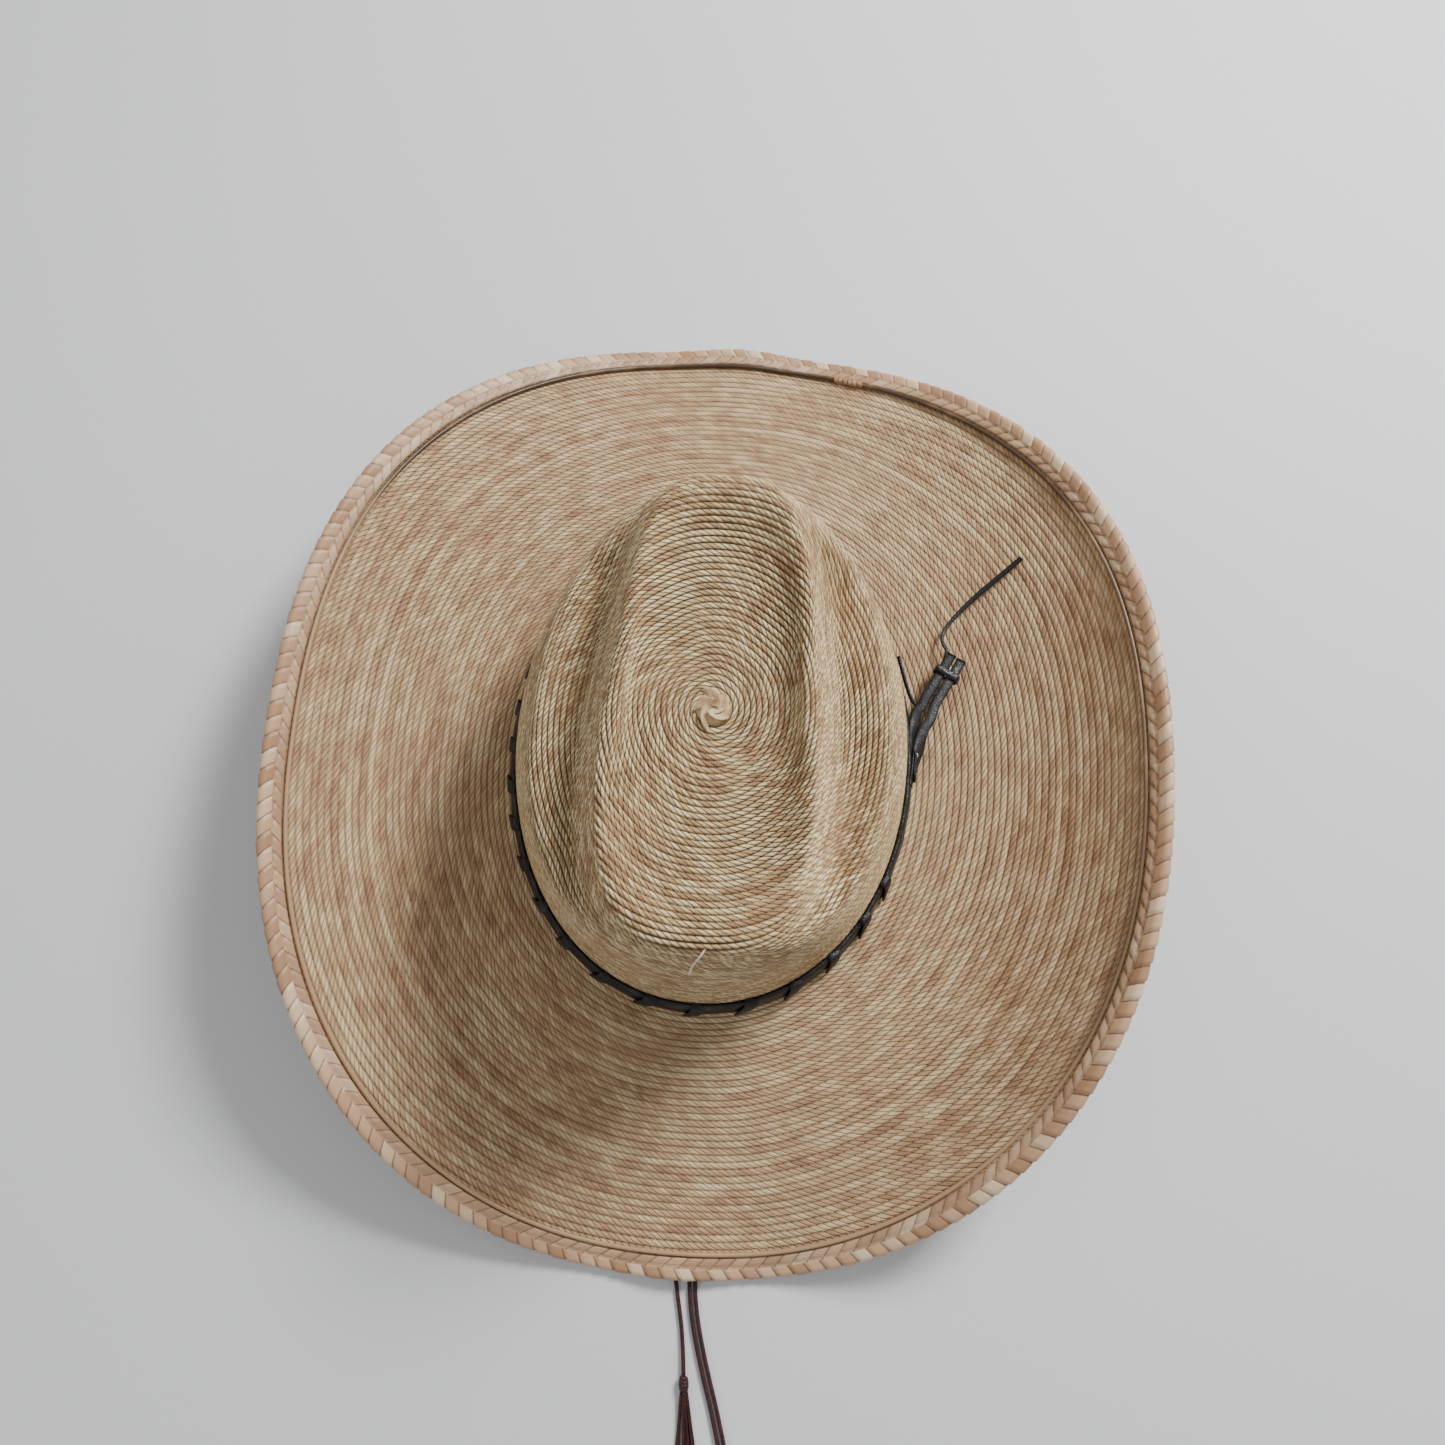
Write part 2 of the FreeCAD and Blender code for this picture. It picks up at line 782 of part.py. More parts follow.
def tassel(route, spread):
    """Loose threads below an end knot, as one flat fan on the table."""
    along = end_heading(route)
    across = Vector(along.y, -along.x, 0)
    start = Vector(*route[-1][:2], 0.02) + along * (knot_length + touch)
    far = start + along * tassel_length
    narrow = knot_width / 2 - 0.6
    points = [start - across * narrow, far - across * spread, far + across * spread, start + across * narrow]
    face = Part.Face(Part.makePolygon(points + points[:1]))
    return face.extrude(Vector(0, 0, tassel_thickness))


def lace_points():
    """The flat lace: down beside the band, round a bight, under the front strap and out over the brim."""
    under = strap_height - keeper_clearance - lace_diameter / 2
    along = unit(strap_angle)
    across = Vector(along.y, -along.x, 0)
    lane = strap_end - across * (strap_width + strap_gap / 2 - lace_diameter / 2 - 0.1)
    bight = [(79.4, 51.8, 8.0), (81.4, 44.8, 8.0), (83.6, 37.9, 7.6), (85.7, 32.7, 7.2)]
    bight += [(88.2, 29.9, 6.8), (91.2, 30.6, 6.5), (92.8, 33.6, under)]
    points = [Vector(*place) for place in bight]
    for back in (19.0, -1.0):
        point = lane - along * back
        points.append(Vector(point.x, point.y, under))
    tail = [(98.9, 60.2, 5.4), (99.4, 65.2, 4.8), (102.4, 70.4, 4.7), (108.2, 77.4, 5.8)]
    tail += [(115.7, 84.8, 8.8), (122.9, 91.1, 12.4), (131.3, 98.4, 17.6)]
    points += [Vector(*place) for place in tail]
    return [point + Vector(0, 0, lift) for point in points]


# ---- build ----
lift = 0.0
lift = -min(min(height for _, height in strip) for angle in directions() for strip in edge_section(angle))
print(f"crown line stands {lift:.2f} above the table")

nodes = {
    "crown_weave": crown_weave(),
    "crown_button": crown_button(),
    "brim_weave": brim_weave(),
    "edge_plait": edge_plait(),
    "edge_wire": edge_wire(),
    "wire_splice": wire_splice(),
    "sweatband": sweatband(),
    "sweatband_reed": sweatband_reed(),
    "sweatband_stitches": sweatband_stitches(),
    "sweatband_seam": sweatband_seam(),
    "sweatband_bow": sweatband_bow(),
    "hat_band": hat_band(),
    "band_lacing": band_lacing(),
    "band_strap_front": band_strap_front(),
    "band_strap_back": band_strap_back(),
    "band_keeper": band_keeper(),
    "band_tab": band_tab(),
    "band_rivet": band_rivet(),
    "band_tacks": band_tacks(),
    "band_lace": cord_tube("band_lace", lace_points(), lace_diameter),
    "chin_tab_left": chin_tab(-1),
    "chin_tab_right": chin_tab(1),
    "chin_anchor_left": anchor_knot(-1, knot_width),
    "chin_anchor_right": anchor_knot(1, knot_width + pair_spacing),
    "chin_cord_left": cord_tube("chin_cord_left", cord_points(-1, left_route, 0.0), cord_diameter),
    "chin_cord_right": cord_tube(
        "chin_cord_right",
        cord_points(1, beside(outer_route, -pair_spacing / 2), -pair_spacing / 2),
        cord_diameter,
    ),
    "chin_cord_right_return": cord_tube(
        "chin_cord_right_return",
        cord_points(1, beside(outer_route, pair_spacing / 2), pair_spacing / 2),
        cord_diameter,
    ),
    "chin_knot_left": end_knot(left_route, knot_width),
    "chin_knot_right": end_knot(outer_route, knot_width + pair_spacing),
    "chin_tassel_left": tassel(left_route, 5.0),
    "chin_tassel_right": tassel(outer_route, 6.0),
}

os.makedirs("parts", exist_ok=True)
for name, shape in nodes.items():
    box = shape.BoundBox
    print(f"{name}: valid {shape.isValid()}, volume {shape.Volume:.0f}, x {box.XMin:.1f} {box.XMax:.1f},"
          f" y {box.YMin:.1f} {box.YMax:.1f}, z {box.ZMin:.2f} {box.ZMax:.2f}")
    shape.exportStep(f"parts/{name}.step")
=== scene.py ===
import math

import bmesh
import bpy
import numpy as np
from mathutils import Matrix, Vector


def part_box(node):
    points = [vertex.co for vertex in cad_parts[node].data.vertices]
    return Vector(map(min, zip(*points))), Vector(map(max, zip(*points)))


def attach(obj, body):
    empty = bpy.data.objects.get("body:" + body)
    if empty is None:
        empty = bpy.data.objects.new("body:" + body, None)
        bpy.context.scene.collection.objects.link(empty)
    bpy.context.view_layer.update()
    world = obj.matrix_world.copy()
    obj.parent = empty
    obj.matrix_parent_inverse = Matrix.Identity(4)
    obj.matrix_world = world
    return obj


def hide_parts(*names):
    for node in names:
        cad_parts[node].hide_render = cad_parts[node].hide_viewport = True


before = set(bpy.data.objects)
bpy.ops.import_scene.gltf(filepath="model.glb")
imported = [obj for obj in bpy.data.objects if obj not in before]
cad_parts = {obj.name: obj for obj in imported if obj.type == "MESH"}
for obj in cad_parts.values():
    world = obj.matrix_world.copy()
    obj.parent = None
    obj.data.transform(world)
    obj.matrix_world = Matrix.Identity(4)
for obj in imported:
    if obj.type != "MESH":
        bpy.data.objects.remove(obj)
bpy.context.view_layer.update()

# ---------------------------------------------------------------- woven crown
# The crown is one length of palm-leaf braid coiled from the button outwards, each row laid
# against the last, then blocked wet over a form, which leaves the dish, the raised rim, the two
# side creases and the straight wall. Sizes are in millimetres and metres are made at the mesh.
mm = 0.001
band_foot = 2.0
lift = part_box("hat_band")[0].z / mm - band_foot   # the line where crown and brim meet
crown_half_width, crown_half_length = 85.0, 105.0
crown_height = 108.0
weave = 2.2
wall_height, wall_lean = 42.0, 5.8
collar = 4.0
dish_depth = 12.0
button_hole = 5.0
front_pinch = 0.09
crown_rows = 76
strand_slant = 1.4                                # strands that the lay crosses in one row


def oval(angle, half_width, half_length, power):
    across = np.abs(np.cos(angle) / half_width) ** power
    along = np.abs(np.sin(angle) / half_length) ** power
    return (across + along) ** (-1.0 / power)


def smooth_step(low, high, value):
    share = np.clip((value - low) / (high - low), 0.0, 1.0)
    return share * share * (3.0 - 2.0 * share)


def mix(first, second, share):
    return first + (second - first) * share


def base_radius(angle):
    return oval(angle, crown_half_width, crown_half_length, 2.05)


def wall_radius(angle, height):
    return base_radius(angle) - wall_lean * height / wall_height


def crown_profile(angle):
    """Control points of the crown's outer line, as (radius, height), from the button down."""
    pinch = 1.0 - front_pinch * np.sin(angle)
    side = smooth_step(0.30, 0.72, np.abs(np.cos(angle)))
    top = crown_height
    floor = top - dish_depth
    rim = oval(angle, 37.0 * pinch, 84.0, 3.0)
    dent = oval(angle, 47.0 * pinch, 88.5, 2.8)
    shoulder = oval(angle, 66.0 * (1 + pinch) / 2, 92.5, 2.3)
    dish = oval(angle, 25.0, mix(45.0, 58.0, (1 + np.sin(angle)) / 2), 2.2)
    dent_low = mix(top - 8.0, top - 26.0, side)
    shoulder_top = top - 21.0
    wall_top = wall_radius(angle, wall_height)
    return [
        (button_hole, floor - 1.0),
        (dish * 0.5, floor - 1.0),
        (dish, floor + 1.0),
        (mix(dish, rim, 0.5), top - 5.0),
        (rim - 5.0, top + 0.5),
        (rim, top),
        (rim + 3.5, mix(top - 3.0, top - 9.0, side)),
        (dent, dent_low),
        (mix(dent, shoulder, 0.5), mix(top - 15.0, dent_low - 1.0, side)),
        (shoulder, shoulder_top),
        (mix(shoulder, wall_top, 0.6), mix(shoulder_top, wall_height, 0.5)),
        (wall_top, wall_height),
        (wall_radius(angle, 28.0), 28.0),
        (wall_radius(angle, 14.0), 14.0),
        (wall_radius(angle, collar), collar),
    ]


def spline_weights(count, samples):
    """How much each of count control points of a clamped cubic spline adds at each sample."""
    knots = np.array([0.0] * 3 + list(range(count - 2)) + [count - 3.0] * 3)
    place = np.linspace(0.0, count - 3.0 - 1e-9, samples)
    weights = [(knots[k] <= place) & (place < knots[k + 1]) for k in range(len(knots) - 1)]
    weights = [w.astype(float) for w in weights]
    for degree in (1, 2, 3):
        raised = []
        for k in range(len(weights) - 1):
            total = np.zeros(samples)
            rise = knots[k + degree] - knots[k]
            fall = knots[k + degree + 1] - knots[k + 1]
            if rise > 0:
                total += (place - knots[k]) / rise * weights[k]
            if fall > 0:
                total += (knots[k + degree + 1] - place) / fall * weights[k + 1]
            raised.append(total)
        weights = raised
    return np.array(weights[:count])


def in_space(angle, radius, height):
    return np.stack(np.broadcast_arrays(radius * np.cos(angle), radius * np.sin(angle), height + lift), -1)


def lay_out(profile, columns):
    """The smooth surface under the weave: points, outward normals and shares of the length."""
    angle = np.linspace(0.0, 2 * np.pi, columns + 1)
    controls = profile(angle)
    radius = np.array([r + 0 * angle for r, _ in controls])
    height = np.array([h + 0 * angle for _, h in controls])
    weights = spline_weights(len(controls), 240)
    points = in_space(angle[:, None], (weights.T @ radius).T, (weights.T @ height).T)
    down = np.gradient(points, axis=1)
    ahead = np.roll(points[:-1], -1, 0) - np.roll(points[:-1], 1, 0)
    ahead = np.concatenate([ahead, ahead[:1]])
    normal = np.cross(down, ahead)
    normal /= np.linalg.norm(normal, axis=2, keepdims=True)
    run = np.linalg.norm(np.diff(points, axis=1), axis=2)
    share = np.concatenate([np.zeros((columns + 1, 1)), np.cumsum(run, 1)], 1)
    return angle, points, normal, share / share[:, -1:]


def rows_at(surface, share):
    """Points and normals at these shares of the length, one column of shares per direction."""
    _, points, normal, known = surface
    found = [np.empty(share.shape + (3,)) for _ in range(2)]
    for k in range(share.shape[0]):
        for target, source in zip(found, (points, normal)):
            for axis in range(3):
                target[k, :, axis] = np.interp(share[k], known[k], source[k, :, axis])
    return found


def around_share(angle):
    """Share of the way round the hat at each direction, measured along the crown's foot."""
    foot = in_space(angle, base_radius(angle), 0.0)
    steps = np.linalg.norm(np.diff(foot, axis=0), axis=1)
    way = np.concatenate([[0.0], np.cumsum(steps)])
    return way / way[-1]


def make_piece(name, points, faces, material, uv=None, values=None, weld=False):
    """A mesh object in metres from points in millimetres."""
    mesh = bpy.data.meshes.new(name)
    mesh.from_pydata((np.asarray(points).reshape(-1, 3) * mm).tolist(), [], faces)
    if uv is not None:
        layer = mesh.uv_layers.new(name="UVMap")
        layer.data.foreach_set("uv", np.asarray(uv, np.float32).ravel())
    for key, numbers in (values or {}).items():
        layer = mesh.attributes.new(key, "FLOAT", "POINT")
        layer.data.foreach_set("value", np.asarray(numbers, np.float32).ravel())
    if weld:
        work = bmesh.new()
        work.from_mesh(mesh)
        bmesh.ops.remove_doubles(work, verts=work.verts, dist=2e-6)
        work.to_mesh(mesh)
        work.free()
    mesh.shade_smooth()
    mesh.materials.append(material)
    piece = bpy.data.objects.new(name, mesh)
    bpy.context.scene.collection.objects.link(piece)
    return piece


def settle(piece, slot, *nodes, body="hat"):
    """The piece rides on its body and stands for its CAD nodes, which are hidden. The slot is not used."""
    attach(piece, body)
    if nodes:
        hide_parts(*nodes)


def woven_shell(name, profile, rows, columns, lines, pitch, growth, relief, material):
    """A closed shell of coiled braid. Mesh lines follow the spiral, so no face spans two rows."""
    surface = lay_out(profile, columns)
    angle = surface[0]
    turn = around_share(angle)
    sides = []
    for per_row, depth in ((lines, 0.0), (2, weave)):
        steps = np.arange(-per_row, rows * per_row + 1)
        row = np.clip(steps[None, :] / per_row + turn[:, None], 0.0, rows)
        part = row / rows
        share = part * (1.0 - growth + growth * part)
        points, normal = rows_at(surface, share)
        sides.append((steps, row, points, normal, per_row, depth))
    girth_rows = np.arange(rows + 1)
    part = girth_rows / rows
    rings, _ = rows_at(surface, np.tile(part * (1.0 - growth + growth * part), (columns + 1, 1)))
    girth = np.linalg.norm(np.diff(rings, axis=0), axis=2).sum(0)
    length = np.concatenate([[0.0], np.cumsum((girth[1:] + girth[:-1]) / 2)])
    all_points, all_faces, all_uv, all_rows = [], [], [], []
    start = 0
    for steps, row, points, normal, per_row, depth in sides:
        whole = np.floor(steps / per_row)
        across = steps / per_row - whole
        strands = np.interp(whole[None, :] + turn[:, None], girth_rows, length) / pitch
        lay = strands - strand_slant * across[None, :]
        bulge = np.sqrt(np.sin(np.pi * across))[None, :]
        twist = np.abs(np.sin(np.pi * lay)) ** 0.6
        rise = relief(angle[:, None], row / rows) * (bulge * (0.6 + 0.4 * twist) - 0.55)
        if depth:
            rise = -depth - 0.3 * rise
        all_points.append((points + normal * rise[..., None]).reshape(-1, 3))
        all_rows.append(row.ravel())
        count = len(steps)
        i, j = np.meshgrid(np.arange(columns), np.arange(count - 1), indexing="ij")
        corner = [(i, j), (i, j + 1), (i + 1, j + 1), (i + 1, j)]
        if depth:
            corner = corner[::-1]
        faces = np.stack([a * count + b + start for a, b in corner], -1).reshape(-1, 4)
        low = whole[j]
        uv = []
        for a, b in corner:
            within = steps[b] / per_row - low
            along = np.interp(low + turn[a], girth_rows, length) / pitch
            uv.append(np.stack([along, low + within], -1))
        all_uv.append(np.stack(uv, 2).reshape(-1, 2))
        all_faces.append(faces)
        start += (columns + 1) * count
    outer_count, inner_count = len(sides[0][0]), len(sides[1][0])
    inner_start = (columns + 1) * outer_count
    i = np.arange(columns)
    for outer_line, inner_line, turned in ((0, 0, False), (outer_count - 1, inner_count - 1, True)):
        ring = [i * outer_count + outer_line, (i + 1) * outer_count + outer_line]
        ring += [inner_start + (i + 1) * inner_count + inner_line, inner_start + i * inner_count + inner_line]
        faces = np.stack(ring[::-1] if turned else ring, -1)
        all_faces.append(faces)
        all_uv.append(np.zeros((len(faces) * 4, 2)))
    return make_piece(
        name, np.concatenate(all_points), np.concatenate(all_faces).tolist(), material,
        uv=np.concatenate(all_uv), values={"rows": np.concatenate(all_rows)}, weld=True,
    )


def new_material(name):
    material = bpy.data.materials.new(name)
    material.use_nodes = True
    return material, material.node_tree, material.node_tree.nodes["Principled BSDF"]


def put(tree, socket, value):
    if isinstance(value, bpy.types.NodeSocket):
        tree.links.new(value, socket)
    else:
        socket.default_value = value


def calc(tree, operation, *values):
    node = tree.nodes.new("ShaderNodeMath")
    node.operation = operation
    for socket, value in zip(node.inputs, values):
        put(tree, socket, value)
    return node.outputs[0]


def spread(tree, value, low, high, new_low=0.0, new_high=1.0):
    node = tree.nodes.new("ShaderNodeMapRange")
    node.interpolation_type = "SMOOTHSTEP"
    for key, number in zip(("Value", "From Min", "From Max", "To Min", "To Max"),
                           (value, low, high, new_low, new_high)):
        put(tree, node.inputs[key], number)
    return node.outputs["Result"]


def colour_mix(tree, share, first, second):
    node = tree.nodes.new("ShaderNodeMix")
    node.data_type = "RGBA"
    put(tree, node.inputs[0], share)
    put(tree, node.inputs[6], first if isinstance(first, bpy.types.NodeSocket) else (*first, 1))
    put(tree, node.inputs[7], second if isinstance(second, bpy.types.NodeSocket) else (*second, 1))
    return node.outputs[2]


def noise(tree, where, scale, detail=3.0, dimensions="3D"):
    node = tree.nodes.new("ShaderNodeTexNoise")
    node.noise_dimensions = dimensions
    put(tree, node.inputs["W" if dimensions == "1D" else "Vector"], where)
    node.inputs["Scale"].default_value = scale
    node.inputs["Detail"].default_value = detail
    return node.outputs["Fac"]


def chance(tree, number):
    node = tree.nodes.new("ShaderNodeTexWhiteNoise")
    node.noise_dimensions = "1D"
    put(tree, node.inputs["W"], number)
    return node.outputs["Value"]


def joined(tree, x, y, z=0.0):
    node = tree.nodes.new("ShaderNodeCombineXYZ")
    for socket, value in zip(node.inputs, (x, y, z)):
        put(tree, socket, value)
    return node.outputs[0]


def uv_parts(tree):
    split = tree.nodes.new("ShaderNodeSeparateXYZ")
    tree.links.new(tree.nodes.new("ShaderNodeTexCoord").outputs["UV"], split.inputs[0])
    return split.outputs["X"], split.outputs["Y"]


def position(tree):
    return tree.nodes.new("ShaderNodeTexCoord").outputs["Object"]


def add_bump(tree, shader, height, distance, strength=1.0):
    node = tree.nodes.new("ShaderNodeBump")
    node.inputs["Strength"].default_value = strength
    node.inputs["Distance"].default_value = distance
    tree.links.new(height, node.inputs["Height"])
    tree.links.new(node.outputs["Normal"], shader.inputs["Normal"])


def middle_distance(tree, value):
    """0 in the middle of each unit of value and 1 at its ends."""
    return calc(tree, "ABSOLUTE", calc(tree, "MULTIPLY_ADD", calc(tree, "FRACT", value), 2.0, -1.0))


def palm_leaf(name, cream, tan, brown, groove_shade, row_shade, strand_shade, strand_tone, slit_shade):
    """Strands of split palm leaf: every strand its own tone, with painted shade where rows and strands meet
    and in short slits.
    """
    material, tree, shader = new_material(name)
    along, across = uv_parts(tree)
    slanted = calc(tree, "MULTIPLY", calc(tree, "FRACT", across), strand_slant)
    lay = calc(tree, "SUBTRACT", along, slanted)
    strand = chance(tree, calc(tree, "FLOOR", lay))
    rows = tree.nodes.new("ShaderNodeAttribute")
    rows.attribute_name = "rows"
    rings = noise(tree, rows.outputs["Fac"], 0.55, 2.0, "1D")
    runs = noise(tree, along, 0.11, 3.0, "1D")
    patches = noise(tree, position(tree), 26.0, 4.0)
    specks = noise(tree, position(tree), 170.0, 3.0)
    tone = calc(tree, "MULTIPLY_ADD", rings, 0.55, -0.22)
    check_place = joined(tree, calc(tree, "MULTIPLY", along, 0.30), calc(tree, "FLOOR", across))
    checks = noise(tree, check_place, 0.9, 1.0)
    parts = (runs, 0.40), (patches, 0.62), (specks, 0.25), (checks, 0.70), (strand, strand_tone)
    for source, weight in parts:
        tone = calc(tree, "MULTIPLY_ADD", calc(tree, "SUBTRACT", source, 0.5), weight, tone)
    tone = calc(tree, "ADD", tone, 0.47)
    colour = colour_mix(tree, spread(tree, tone, 0.18, 0.50), brown, tan)
    colour = colour_mix(tree, spread(tree, tone, 0.46, 0.80), colour, cream)
    # Painted shade: darkening along the row edges, the strand edges and short slits, towards a near-black
    # brown.
    row_edge = spread(tree, middle_distance(tree, across), 0.55, 0.95)
    strand_edge = spread(tree, middle_distance(tree, lay), 0.55, 0.98)
    strand_gap = calc(tree, "MULTIPLY", strand_edge, spread(tree, strand, 0.1, 0.9, 0.35, 1.0))
    slit_place = joined(tree, calc(tree, "MULTIPLY", lay, 1.1), calc(tree, "MULTIPLY", across, 1.6))
    slit_shade_mask = spread(tree, noise(tree, slit_place, 1.5, 2.0), 0.56, 0.68, 0.0, slit_shade)
    dark = calc(tree, "MAXIMUM", calc(tree, "MULTIPLY", row_edge, row_shade),
                calc(tree, "MULTIPLY", strand_gap, strand_shade))
    dark = calc(tree, "MAXIMUM", dark, slit_shade_mask)
    dark = calc(tree, "MULTIPLY", dark, spread(tree, patches, 0.30, 0.62, 0.45, 1.0))
    tree.links.new(colour_mix(tree, dark, colour, groove_shade), shader.inputs["Base Color"])
    fibre = noise(tree, joined(tree, calc(tree, "MULTIPLY", along, 0.6),
                               calc(tree, "MULTIPLY", lay, 9.0)), 1.0, 2.0)
    tree.links.new(spread(tree, fibre, 0.2, 0.8, 0.42, 0.62), shader.inputs["Roughness"])
    rise = calc(tree, "MULTIPLY_ADD", strand_edge, -1.0, calc(tree, "MULTIPLY", fibre, 0.45))
    rise = calc(tree, "MULTIPLY_ADD", row_edge, -0.8, rise)
    add_bump(tree, shader, rise, 0.00045)
    shader.inputs["Specular IOR Level"].default_value = 0.42
    return material


def crown_relief(angle, part):
    """The rows stand out most over the top and its back, and were pressed flat on the wall."""
    top = 1.0 - smooth_step(0.42, 0.60, part)
    back = smooth_step(-0.2, 0.9, -np.sin(angle))
    middle = smooth_step(0.0, 0.10, part)
    return 0.46 + top * middle * (0.36 + 0.40 * back)


# The crown's painted shade between rows and strands is darker than the brim's.
crown_palm = palm_leaf(
    "crown palm", cream=(0.88, 0.69, 0.39), tan=(0.62, 0.415, 0.205), brown=(0.40, 0.235, 0.11),
    groove_shade=(0.045, 0.022, 0.010), row_shade=0.95, strand_shade=0.85, strand_tone=0.55, slit_shade=0.50,
)
crown = woven_shell(
    "crown", crown_profile, crown_rows, columns=720, lines=4, pitch=2.7, growth=0.0,
    relief=crown_relief, material=crown_palm,
)
settle(crown, "palm", "crown_weave")

# ---------------------------------------------------------------- button
# Where the coil starts, five leaf ends are folded over each other into a small pinwheel and
# their tips tucked under, which closes the hole in the middle of the tip.
button_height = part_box("crown_button")[1].z / mm
petals = 5
petal_turn = 0.8


def leaf_blade(points, widths, thickness, flat):
    """A strip of leaf, leather or cord along points, its broad side facing flat."""
    points = np.asarray(points, float)
    flat = np.broadcast_to(np.asarray(flat, float), points.shape)
    heading = np.gradient(points, axis=0)
    heading /= np.linalg.norm(heading, axis=1, keepdims=True)
    side = np.cross(heading, flat)
    side /= np.linalg.norm(side, axis=1, keepdims=True)
    up = np.cross(side, heading)
    corner = np.linspace(0, 2 * np.pi, 13)[:-1] + np.pi / 12
    square = (np.abs(np.cos(corner)) ** 4 + np.abs(np.sin(corner)) ** 4) ** -0.25
    out = np.cos(corner) * square / 2
    rise = np.sin(corner) * square / 2
    widths = np.broadcast_to(np.asarray(widths, float), (len(points),))
    thick = np.broadcast_to(np.asarray(thickness, float), (len(points),))
    rings = points[:, None] + side[:, None] * (out[None, :, None] * widths[:, None, None])
    rings = rings + up[:, None] * (rise[None, :, None] * thick[:, None, None])
    count = len(corner)
    i, j = np.meshgrid(np.arange(len(points) - 1), np.arange(count), indexing="ij")
    after = (j + 1) % count
    quads = np.stack([i * count + j, (i + 1) * count + j, (i + 1) * count + after, i * count + after], -1)
    faces = quads.reshape(-1, 4)[:, ::-1].tolist()
    last = (len(points) - 1) * count
    faces += [list(range(count)), [last + k for k in range(count)][::-1]]
    return rings.reshape(-1, 3), faces


def gather(parts):
    """Several (points, faces) as one."""
    points, faces, start = [], [], 0
    for some_points, some_faces in parts:
        points.append(some_points)
        faces += [[k + start for k in face] for face in some_faces]
        start += len(some_points)
    return np.concatenate(points), faces


def smooth_way(points, per_span=8):
    """A flowing line through the points."""
    points = np.asarray(points, float)
    padded = np.concatenate([2 * points[:1] - points[1:2], points, 2 * points[-1:] - points[-2:-1]])
    way = []
    for k in range(len(points) - 1):
        a, b, c, d = padded[k:k + 4]
        for t in np.arange(per_span) / per_span:
            way.append(0.5 * (2 * b + (c - a) * t + (2 * a - 5 * b + 4 * c - d) * t * t
                              + (3 * b - a - 3 * c + d) * t ** 3))
    way.append(points[-1])
    return np.array(way)


def dry_leaf(name, light, dark, scale):
    """Folded leaf with fine fibres along it."""
    material, tree, shader = new_material(name)
    where = position(tree)
    share = spread(tree, noise(tree, where, scale), 0.3, 0.7)
    tree.links.new(colour_mix(tree, share, dark, light), shader.inputs["Base Color"])
    add_bump(tree, shader, noise(tree, where, scale * 9), 0.0003, 0.6)
    shader.inputs["Roughness"].default_value = 0.5
    return material


def button_petal(k):
    turn = 2 * math.pi * k / petals
    low = button_height - 3.4
    line = []
    for part in np.linspace(0, 1, 7):
        angle = turn + petal_turn * part
        radius = 0.6 + (6.2 + 1.6 * (k % 2)) * part
        height = low + 1.5 * math.sin(math.pi * (0.40 + 0.50 * part)) + 0.5 * (k % 3)
        line.append((radius * math.cos(angle), radius * math.sin(angle), height))
    line = smooth_way(line, 3)
    share = np.linspace(0, 1, len(line))
    lean = turn + petal_turn * share + math.pi / 2
    tilt = np.stack([0.55 * np.cos(lean), 0.55 * np.sin(lean), 1 + 0 * share], -1)
    return leaf_blade(line, mix(6.0, 0.8, share ** 1.5), 0.5, tilt)


def button_bed():
    """The low mound under the petals."""
    outline = [(6.4, -4.2), (6.0, -3.0), (4.4, -2.3), (2.4, -2.0), (0.5, -1.9)]
    sides = 24
    points, faces = [], []
    for radius, height in outline:
        for k in range(sides):
            angle = 2 * math.pi * k / sides
            points.append((radius * math.cos(angle), radius * math.sin(angle), button_height + height))
    last = (len(outline) - 1) * sides
    for low in range(0, last, sides):
        for k in range(sides):
            after = (k + 1) % sides
            faces.append([low + k, low + after, low + sides + after, low + sides + k])
    faces.append([last + k for k in range(sides)])
    faces.append(list(range(sides))[::-1])
    return np.array(points), faces


button_leaf = dry_leaf("button leaf", (0.70, 0.51, 0.29), (0.42, 0.26, 0.13), 260.0)
points, faces = gather([button_bed()] + [button_petal(k) for k in range(petals)])
settle(make_piece("button", points, faces, button_leaf), "palm_knot", "crown_button")

# ---------------------------------------------------------------- loose fibre
# One pale fibre has sprung out of the weave at the back of the crown's rim. It hangs free of the
# wall below, and is dry and paler than the palm round it.
fibre_line = smooth_way([(3.6, -85.5, 106.4), (1.6, -88.6, 105.4), (-0.6, -91.6, 101.5), (-1.5, -94.2, 96.0)])
fibre = leaf_blade(fibre_line + np.array([0, 0, lift]), 0.7, 0.4, (0, -0.7, 0.7))
fibre_leaf = dry_leaf("fibre leaf", (0.88, 0.80, 0.66), (0.74, 0.62, 0.44), 500.0)
settle(make_piece("loose_fibre", *fibre, fibre_leaf), "palm")

# ---------------------------------------------------------------- woven brim
# The same coil goes on outwards as the brim. It is steamed so that the sides curl up and the
# front and back dip, and its rows widen towards the edge as the braid stretches.
brim_half_width, brim_half_length = 180.0, 215.0
side_rise, brim_fall, curl_bias = 76.0, 25.5, 0.10
edge_arch, edge_arch_reach = 7.0, 25.0
edge_width, edge_thickness = 9.5, 4.4
brim_rows = 38


def edge_radius(angle):
    return oval(angle, brim_half_width, brim_half_length, 2.26)


def brim_point(angle, share):
    """(radius, height) of the brim's top, from the crown line (0) to the outer edge (1)."""
    side = np.cos(angle) ** 2
    rise = side_rise * (1.0 + curl_bias * np.cos(angle)) * (1.72 * side - 0.72 * side * side)
    arch = edge_arch * np.exp(-((edge_radius(angle) * np.cos(angle) / edge_arch_reach) ** 2))
    height = rise * share ** 2 - brim_fall * share ** 1.2 + arch * share ** 4
    return mix(base_radius(angle), edge_radius(angle), share), height


